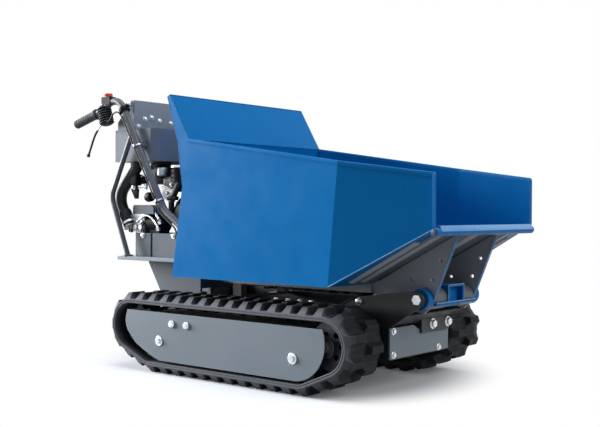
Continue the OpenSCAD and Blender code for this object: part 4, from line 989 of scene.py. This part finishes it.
@dataclass
class PowerUnit:
    """Engine, pump and tank on the deck, with their small fittings."""

    riser: float = 470.0
    crank: Corner = (-385.0, 542.0)
    block_top: float = 598.0
    head: float = 682.0
    valve: tuple[float, float, float] = (-590.0, -170.0, 470.0)
    deck: float = 384.0
    bay_face: float = -148.0
    hose_y: float = -206.0
    hose_way: tuple[float, float, float] = (0.52, 0.0, -0.86)

    def build(self) -> None:
        """Dresses the power unit and adds its fittings."""
        dress(["transaxle"], CAST_IRON, 1.4)
        dress(["engine_block", "hydraulic_valve"], CAST_ALLOY, 1.4)
        dress(["pedestal", "engine_riser", "pump_cover"], BAY_COAT, 1.6)
        dress(["oil_tank"], TANK_COAT, 1.6)
        dress(["deck_plate", "console"], GREY_COAT, 1.6)
        dress(["recoil_starter", "air_filter", "hydraulic_pump", "tank_cap"], BLACK_ABS, 1.4)
        dress(["muffler"], CAST_IRON, 2.0)
        dress(["engine_pulley", "gearbox_pulley"], CAST_IRON, 0.8)
        dress(["drive_belt"], HOSE_RUBBER, 0.8)
        dress(["suction_hose"], HOSE_RUBBER, 0.0)
        self.engine()
        self.bay()
        self.crankcase()
        self.hydraulics()
        self.panel_bolts()

    def engine(self) -> None:
        """Adds the starter's and head's bolts, the starter handle, filter band and carburettor."""
        (x, z), top = self.crank, self.block_top
        cover = [(x + 62 * math.cos(a), -146, z + 62 * math.sin(a)) for a in (math.pi * k / 4 for k in (1, 3, 5, 7))]
        head = [(x + dx, y, self.head + 36) for dx in (-46, 66) for y in (-44, 44)]
        bolts = Stock().hex_bolts(cover, RIGHT, 6.0, 5.0, 8.5).hex_bolts(head, UP, 7.0, 6.0, 9.5)
        bolts.piece("engine_bolts", ZINC)
        handle = Stock().swept([(6, -7), (10, -3), (10, 3), (6, 7), (-6, 7), (-10, 3), (-10, -3), (-6, -7)],
                               [(x - 62, -176, z + 56), (x - 40, -177, z + 60), (x - 18, -176, z + 56)])
        handle.rod((x - 40, -158, z + 52), (x - 40, -172, z + 58), 5.0, 3.5).piece("starter_handle", BLACK_ABS, 1.0)
        band = Stock().turned([(50.2, 0), (51.2, 0.6), (51.2, 8.4), (50.2, 9.0)], (x - 20, -137, top + 112), UP)
        band.turned([(0, 0), (18, 0), (18, 5), (15, 7), (6, 8), (6, 14), (0, 15)], (x - 20, -137, top + 134), UP)
        band.piece("filter_band", ZINC)
        carb = Stock().plate((x - 44, -132, top - 14), (x + 2, -92, top + 20), 3.0)
        carb.turned([(0, 0), (17, 0), (19, 4), (19, 22), (0, 22)], (x - 21, -112, top - 36), UP)
        carb.piece("carburettor", CAST_ALLOY, 1.0)

    def crankcase(self) -> None:
        """Adds the crankcase's ribs, its oil filler and drain, the bolts of its feet and the plug's cap."""
        back, foot = self.crank[0] - 64.0, self.riser + 16.0
        fill_y, fill_z = 70.0, foot + 52.0
        ribs = Stock()
        for y in (-84.0, -56.0, -28.0, 0.0, 28.0):
            ribs.plate((back - 6, y - 3, foot + 14), (back + 2, y + 3, self.block_top - 12), 1.5)
        ribs.plate((back - 7, -104, self.block_top - 16), (back + 2, 104, self.block_top - 6), 2.0)
        ribs.turned([(0, 0), (30, 0), (30, 8), (24, 12), (0, 12)], (back, fill_y, fill_z), REAR)
        ribs.piece("crankcase_ribs", CAST_ALLOY)
        plug = [(0, 0), (14, 0), (14, 6), (18, 8), (19, 18), (16, 22), (0, 22)]
        Stock().turned(plug, (back - 12, fill_y, fill_z), (-1, 0, 0.25), 28).piece("oil_filler_plug", BLACK_ABS, 0.6)
        feet = [(self.crank[0] + dx, y, foot) for dx in (-74.0, 74.0) for y in (-92.0, 90.0)]
        flange = [(back - 8, fill_y + dy, fill_z + dz) for dy, dz in ((-24, 0), (24, 0), (0, -24), (0, 24))]
        bolts = Stock().hex_bolts(feet, UP, 9.0, 7.0, 13.0).hex_bolts([(back, -40.0, foot + 7)], REAR, 8.0, 7.0, 11.0)
        bolts.hex_bolts(flange, REAR, 4.0, 3.5).piece("crankcase_bolts", ZINC)
        cap = [(0, 0), (9, 0), (9, 10), (6, 12), (6, 26), (11, 28), (11, 46), (0, 48)]
        Stock().turned(cap, (self.crank[0] + 78, -20, self.head + 16), (0.9, -0.1, 0.35)).piece(
            "spark_plug_cap", BLACK_ABS, 0.8)

    def bay(self) -> None:
        """Fills the bay under the oil tank: petrol tank, filter pot, shields, breather hose and knob."""
        face = self.bay_face
        petrol = Stock().plate((-584, face, 652), (-452, 70, 735), 9.0)
        petrol.turned([(0, 0), (24, 0), (26, 3), (26, 12), (22, 15), (0, 15)], (-520, face, 700), RIGHT)
        petrol.turned([(7.0, 0), (13.0, 0), (13.0, 9), (7.0, 9)], (-461, face, 702), RIGHT)
        petrol.piece("petrol_tank", BLACK_ABS)
        pot = Stock().turned([(0, 0), (16, 0), (19.5, 3), (19.5, 27), (17, 31), (0, 31)], (-494, -166, 681), UP)
        pot.hex_bolts([(-585, face, 716)], RIGHT, 7.0, 6.0, 9.0)
        pot.hex_bolts([(-458, face - 4, 649)], RIGHT, 6.0, 5.0, 8.0).piece("filter_pot", CAST_ALLOY, 0.8)
        guard = [(-500, 677), (-428, 681), (-424, 636), (-457, 631), (-505, 649)]
        Stock().drawn(guard, face - 5, face + 1, 1.2).piece("shield_plate", TUBE_COAT)
        shine = Stock().drawn([(-512, 646), (-457, 629), (-447, 620), (-470, 583), (-512, 607)],
                              face - 4, face + 2, 1.2)
        shine.hex_bolts([(-480, face - 4, 618)], RIGHT, 6.0, 5.0, 8.0).piece("heat_shield", CAST_ALLOY)
        hose = [(-388, -150, 700), (-390, -162, 680), (-396, -170, 655), (-412, -172, 629), (-427, -172, 604),
                (-442, -168, 584), (-452, -158, 562), (-458, -146, 545)]
        Stock().wire(hose, 11.0, 16, LEFT).piece("breather_hose", HOSE_RUBBER)
        knob = [(0, 0), (9, 0), (9, 18), (17, 22), (18, 40), (14, 48), (0, 50)]
        Stock().turned(knob, (-446, -240, 606), (-1, 0, -0.1), 28).piece("bar_knob", BLACK_ABS, 0.8)

    def hydraulics(self) -> None:
        """Adds the valve's screws, pressure lines, the hose's clamp and cuffs, and the line filter."""
        vx, vy, vz = self.valve
        screws = Stock()
        for x, z in ((vx + dx, vz + dz) for dx in (-34, 34) for dz in (8, 36)):
            screws.turned([(0, 0), (6.5, 0), (6.5, 6), (3.4, 6), (3.4, 3), (0, 3)], (x, vy - 35, z), RIGHT, 20)
        screws.piece("valve_cap_screws", DARK_COAT, 0.4)
        y = self.hose_y
        lines = Stock().wire(self.arc((-566, -190, 541), (-470, -196, 512), 26.0), 4.5, 12)
        lines.wire(self.arc((-586, y, 512), (-468, y, 488), 34.0), 4.0, 12)
        lines.hex_bolts([(-470, -196, 506), (-468, y, 482)], (0, -0.35, 1), 10.0, 11.0).piece("pressure_lines", ZINC)
        clamp = Stock().turned([(21.2, 0), (25.4, 0), (25.4, 8), (21.2, 8)], (-635, y, 511), self.hose_way)
        clamp.hex_bolts([(-639, y - 24.5, 507)], RIGHT, 5.0, 6.0).piece("hose_clamps", ZINC)
        cuff = Stock().turned([(21.1, 0), (23.0, 3), (24.6, 12), (24.6, 58), (23.6, 62), (15.5, 62), (15.5, 40)],
                              (-660, y, 552), self.hose_way)
        cuff.turned([(21.1, 0), (24.0, 0), (24.0, 20), (21.1, 22)], (-588, y, 734), DOWN)
        cuff.piece("hose_cuff", HOSE_RUBBER)
        pot = Stock().turned([(0, 0), (12, 0), (15, 4), (15, 22), (10, 25), (10, 30), (0, 30)], (-565, -190, 652), UP)
        pot.rod((-588, y, 690), (-588, y, 652), 12.0, 15.0).plate((-618, y - 15, 646), (-576, y + 15, 682), 5.0)
        pot.drawn([(-620, 634), (-577, 634), (-580, 597), (-597, 597)], y - 5, y + 3, 2.0)
        pot.plate((-606, y - 5, 630), (-584, y + 3, 650), 1.5).piece("line_filter", BLACK_ABS, 0.8)
        band = Stock().plate((-600, -200, 681), (-548, -178, 687), 2.0).rod((-557, -190, 653), (-557, -190, 632), 7.5)
        band.hex_bolts([(-600, y - 5, 641)], RIGHT, 7.0, 6.0, 9.0).rod((-600, -208, 639), (-558, -197, 638), 2.6)
        band.piece("line_filter_band", ZINC)

    def arc(self, start: Point, end: Point, rise: float) -> list[Vector]:
        """Returns the points of a bowed line.

        Args:
            start: First point.
            end: Last point.
            rise: Height of the bow over the straight line.

        Returns:
            Seventeen points along it.
        """
        shares = [k / 16 for k in range(17)]
        return [Vector(start).lerp(Vector(end), s) + Vector((0, 0, rise * math.sin(math.pi * s))) for s in shares]

    def panel_bolts(self) -> None:
        """Sets the bolts of the riser, deck and console."""
        riser = [(x, -205.0, self.riser - 9) for x in (-556.0, -390.0)]
        deck = [(x, y, self.deck) for x in (-576.0, -288.0) for y in (-222.0, 222.0)]
        console = [(-600.0, side * y, z) for side in (-1, 1) for y, z in (
            (157.8, 899.0), (125.5, 907.0), (85.0, 897.0), (28.4, 891.0), (189.6, 869.0))]
        bolts = Stock().hex_bolts(riser, RIGHT, 7.0, 5.0, 9.5).hex_bolts(deck, UP, 8.0, 6.0, 11.0)
        bolts.hex_bolts(console, AHEAD, 7.0, 5.0, 9.5).piece("panel_bolts", ZINC)


@dataclass
class Controls:
    """Handlebars, levers, switch and cables."""

    bar: float = 240.0
    bar_way: tuple[float, float, float] = (253.0, 0.0, -427.0)
    pivot: Corner = (-748.0, 890.0)
    tip: Corner = (-834.0, 765.0)

    def build(self) -> None:
        """Dresses the controls and adds boots, levers, ties and the cable guide."""
        dress(both("handlebar"), TUBE_COAT, 0.0)
        dress(["guard_tubes"], TUBE_COAT, 0.0)
        dress(["grips"], GRIP_RUBBER, 0.0)
        self.boots()
        self.levers()
        dress(["switch_box"], BLACK_ABS, 2.0)
        dress(["stop_button"], RED_ABS, 1.6)
        dress(["gear_lever", "tip_lever"], BLACK_ABS, 0.0)
        dress(["control_cables"], HOSE_RUBBER, 0.0)
        self.cable_fittings()

    def boots(self) -> None:
        """Moulds the bellows that cover the lever pivots and the cable ends."""
        outline = [(0.0, -6.0), (15.0, -6.0), (19.0, -2.0)]
        for low in (rib * 9.6 for rib in range(7)):
            outline += [(21.5, low + 0.6), (27.6, low + 3.4), (28.0, low + 5.0), (27.0, low + 6.4)]
        outline += [(20.0, 68.5), (11.0, 72.0), (0.0, 72.0)]
        stock = Stock().turned(outline, (-742.0, -self.bar, 944.0), (0.32, 0, -0.95))
        stock.drawn([(-757, 881), (-708, 878), (-708, 912), (-757, 899)], -self.bar - 11, -self.bar + 11, 2.0)
        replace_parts(stock.mirrored().piece("lever_boots", BOOT_RUBBER), "lever_brackets")

    def levers(self) -> None:
        """Bends the steering levers and slips dipped sleeves over their ends."""
        first, knee, last = Vector((-777.8, 860.2)), Vector((-795.0, 843.0)), Vector((-805.9, 821.3))
        bow = [first * (1 - t) ** 2 + knee * 2 * t * (1 - t) + last * t * t for t in (0.0, 0.25, 0.5, 0.75, 1.0)]
        bow.append((self.tip[0] + 1.8, self.tip[1] + 3.6))
        knob = [(0, -7.4), (4, -6.2), (6.5, -3.5), (7.4, 0), (6.5, 3.5), (4, 6.2), (0, 7.4)]
        for y, body in ((-self.bar, Body.STEER_R), (self.bar, Body.STEER_L)):
            bent = [(x, y, z) for x, z in bow]
            pivot, tip = ((x, y, z) for x, z in (self.pivot, self.tip))
            rod = Stock(body).wire([pivot, *bent], 3.8, 12, LEFT)
            rod.turned([(0, -5), (9, -5), (9, 5), (0, 5)], pivot, LEFT, 24)
            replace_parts(rod.piece(f"{body.value}_rod", GROUND_STEEL), body.value)
            sleeve = Stock(body).wire(bent, 4.4, 12, LEFT).turned(knob, tip, (-0.447, 0, -0.894), 16)
            sleeve.piece(f"{body.value}_sleeve", HOSE_RUBBER)

    def cable_fittings(self) -> None:
        """Pulls the bright ties round the handlebar and its cable, and clamps the cable guide at the top."""
        side = -self.bar
        ties = Stock()
        for x, z in ((-541.0, 791.0), (-421.0, 588.5)):
            for r, at, steps in ((13.3, (x, side, z), 32), (3.3, (x - 3, side - 16.3, z - 2), 16)):
                band = [(r, -2.5), (r + 1.6, -2.5), (r + 1.6, 2.5), (r, 2.5)]
                ties.turned(band, at, self.bar_way, steps)
            ties.plate((x - 4, side - 24, z - 3), (x + 3, side - 13, z + 3), 0.8)
        ties.piece("cable_ties", ZINC)
        x, z = -622.0, 928.0
        nose = (x + 26, side, z + 22)
        clamp = [(13.2, -9), (19, -9), (20, -7), (20, 7), (19, 9), (13.2, 9)]
        guide = Stock().turned(clamp, (x, side, z), self.bar_way)
        guide.rod((x + 10, side, z + 10), nose, 10.0, 7.0).piece("cable_guide", BLACK_ABS, 0.8)
        Stock().hex_bolts([nose], (0.8, 0, 0.6), 6.0, 5.0, 8.0).piece("cable_guide_screw", ZINC)


@dataclass
class Studio:
    """The floor, lights and camera."""

    eye: tuple[float, float, float] = (2159.0, -2553.1, 556.7)
    azimuth: float = 39.8
    pitch: float = 0.2
    roll: float = 0.2
    lens: float = 57.27
    sensor: float = 36.0
    floor_radius: float = 14.0
    fade_start: float = 0.54
    fade_stop: float = 0.8
    glow_near: float = 0.05
    soft_light: float = 0.08

    def build(self) -> None:
        """Sets up the plain studio."""
        bpy.context.scene.view_settings.view_transform = "Standard"
        self.camera()
        self.floor()
        self.world()
        self.softbox("left_softbox", (-8550, -3230, 2660), (0, -100, 450), 4.6, 2000.0)
        self.softbox("top_softbox", (200, -300, 3400), (0, 0, 300), 2.6, 70.0)
        self.softbox("front_softbox", (3000, 700, 1700), (300, 0, 350), 1.8, 40.0)

    def camera(self) -> None:
        """Sets the camera at the photograph's angle."""
        a, e, r = (math.radians(v) for v in (self.azimuth, self.pitch, self.roll))
        look = Vector((-math.sin(a) * math.cos(e), math.cos(a) * math.cos(e), -math.sin(e)))
        level = Vector((math.cos(a), math.sin(a), 0))
        rise = level.cross(look)
        right = math.cos(r) * level + math.sin(r) * rise
        up = -math.sin(r) * level + math.cos(r) * rise
        data = bpy.data.cameras.new("photo_camera")
        data.sensor_width = self.sensor
        data.lens = self.lens
        made = new_object("photo_camera", data)
        turn = Matrix((right, up, -look)).transposed().to_4x4()
        made.matrix_world = Matrix.Translation(TO_FRAME @ Vector(self.eye)) @ turn
        bpy.context.scene.camera = made

    def floor(self) -> None:
        """Lays a plain white floor that keeps the object's shadow."""
        bm = bmesh.new()
        bmesh.ops.create_circle(bm, cap_ends=True, segments=64, radius=self.floor_radius)
        mesh = bpy.data.meshes.new("studio_floor")
        bm.to_mesh(mesh)
        bm.free()
        made = new_object("studio_floor", mesh)
        paint = bpy.data.materials.new("studio_white")
        tree = fresh_tree(paint)
        matt = add_node(tree, "ShaderNodeBsdfDiffuse", inputs={"Color": linear("#eef2f9")})
        glow = add_node(tree, "ShaderNodeEmission", inputs={"Color": linear("#ffffff"), "Strength": 1.0})
        # Away from the object the floor turns into the white backdrop
        place = add_node(tree, "ShaderNodeTexCoord").outputs["Object"]
        far = add_node(tree, "ShaderNodeVectorMath", {"operation": "LENGTH"}, {0: place})
        fade = add_node(tree, "ShaderNodeMapRange", {"interpolation_type": "SMOOTHSTEP"}, {
            "Value": far.outputs["Value"], "From Min": self.fade_start, "From Max": self.fade_stop,
            "To Min": self.glow_near, "To Max": 1.0})
        lit = self.mixed(tree, fade.outputs[0], matt, glow)
        # What the floor throws back on the object is held down, so that its sides keep their shade
        bounce = add_node(tree, "ShaderNodeBsdfDiffuse", inputs={"Color": linear("#8c8c8c")})
        seen = self.mixed(tree, self.seen(tree), bounce, lit)
        add_node(tree, "ShaderNodeOutputMaterial", inputs={"Surface": seen.outputs[0]})
        mesh.materials.append(paint)

    def mixed(self, tree: Tree, factor: Socket, low: bpy.types.Node, high: bpy.types.Node) -> bpy.types.Node:
        """Returns the mix of two shaders: low where the factor is zero, high where it is one."""
        return add_node(tree, "ShaderNodeMixShader", inputs={0: factor, 1: low.outputs[0], 2: high.outputs[0]})

    def seen(self, tree: Tree) -> Socket:
        """Returns one for rays that show the background: from the camera, and through gloss or glass."""
        path = add_node(tree, "ShaderNodeLightPath").outputs
        first = add_node(tree, "ShaderNodeMath", {"operation": "MAXIMUM"}, {
            0: path["Is Camera Ray"], 1: path["Is Glossy Ray"]})
        return add_node(tree, "ShaderNodeMath", {"operation": "MAXIMUM"}, {
            0: first.outputs[0], 1: path["Is Transmission Ray"]}).outputs[0]

    def world(self) -> None:
        """Makes a white surround that lights the object softly."""
        bpy.context.scene.world = bpy.data.worlds.new("studio")
        tree = fresh_tree(bpy.context.scene.world)
        soft, white = (add_node(tree, "ShaderNodeBackground", inputs={"Color": linear("#ffffff"), "Strength": power})
                       for power in (self.soft_light, 1.0))
        mix = self.mixed(tree, self.seen(tree), soft, white)
        add_node(tree, "ShaderNodeOutputWorld", inputs={"Surface": mix.outputs[0]})

    def softbox(self, name: str, place: Point, target: Point, size: float, power: float) -> None:
        """Hangs a square softbox.

        Args:
            name: Its name.
            place: Where it hangs.
            target: What it faces.
            size: Its side in metres.
            power: Its power in watts.
        """
        data = bpy.data.lights.new(name, "AREA")
        data.shape = "SQUARE"
        data.size = size
        data.energy = power
        at, aim = TO_FRAME @ Vector(place), TO_FRAME @ Vector(target)
        turn = (at - aim).to_track_quat("Z", "Y").to_matrix().to_4x4()
        new_object(name, data).matrix_world = Matrix.Translation(at) @ turn


def main() -> None:
    """Builds the studio and every sub-assembly."""
    logging.basicConfig(level=logging.INFO, format="%(message)s")
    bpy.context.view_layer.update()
    Studio().build()
    for assembly in (Skip(), LiftRam(), Undercarriage(), PowerUnit(), Controls()):
        LOG.info("building %s", type(assembly).__name__)
        assembly.build()


if __name__ == "__main__":
    main()
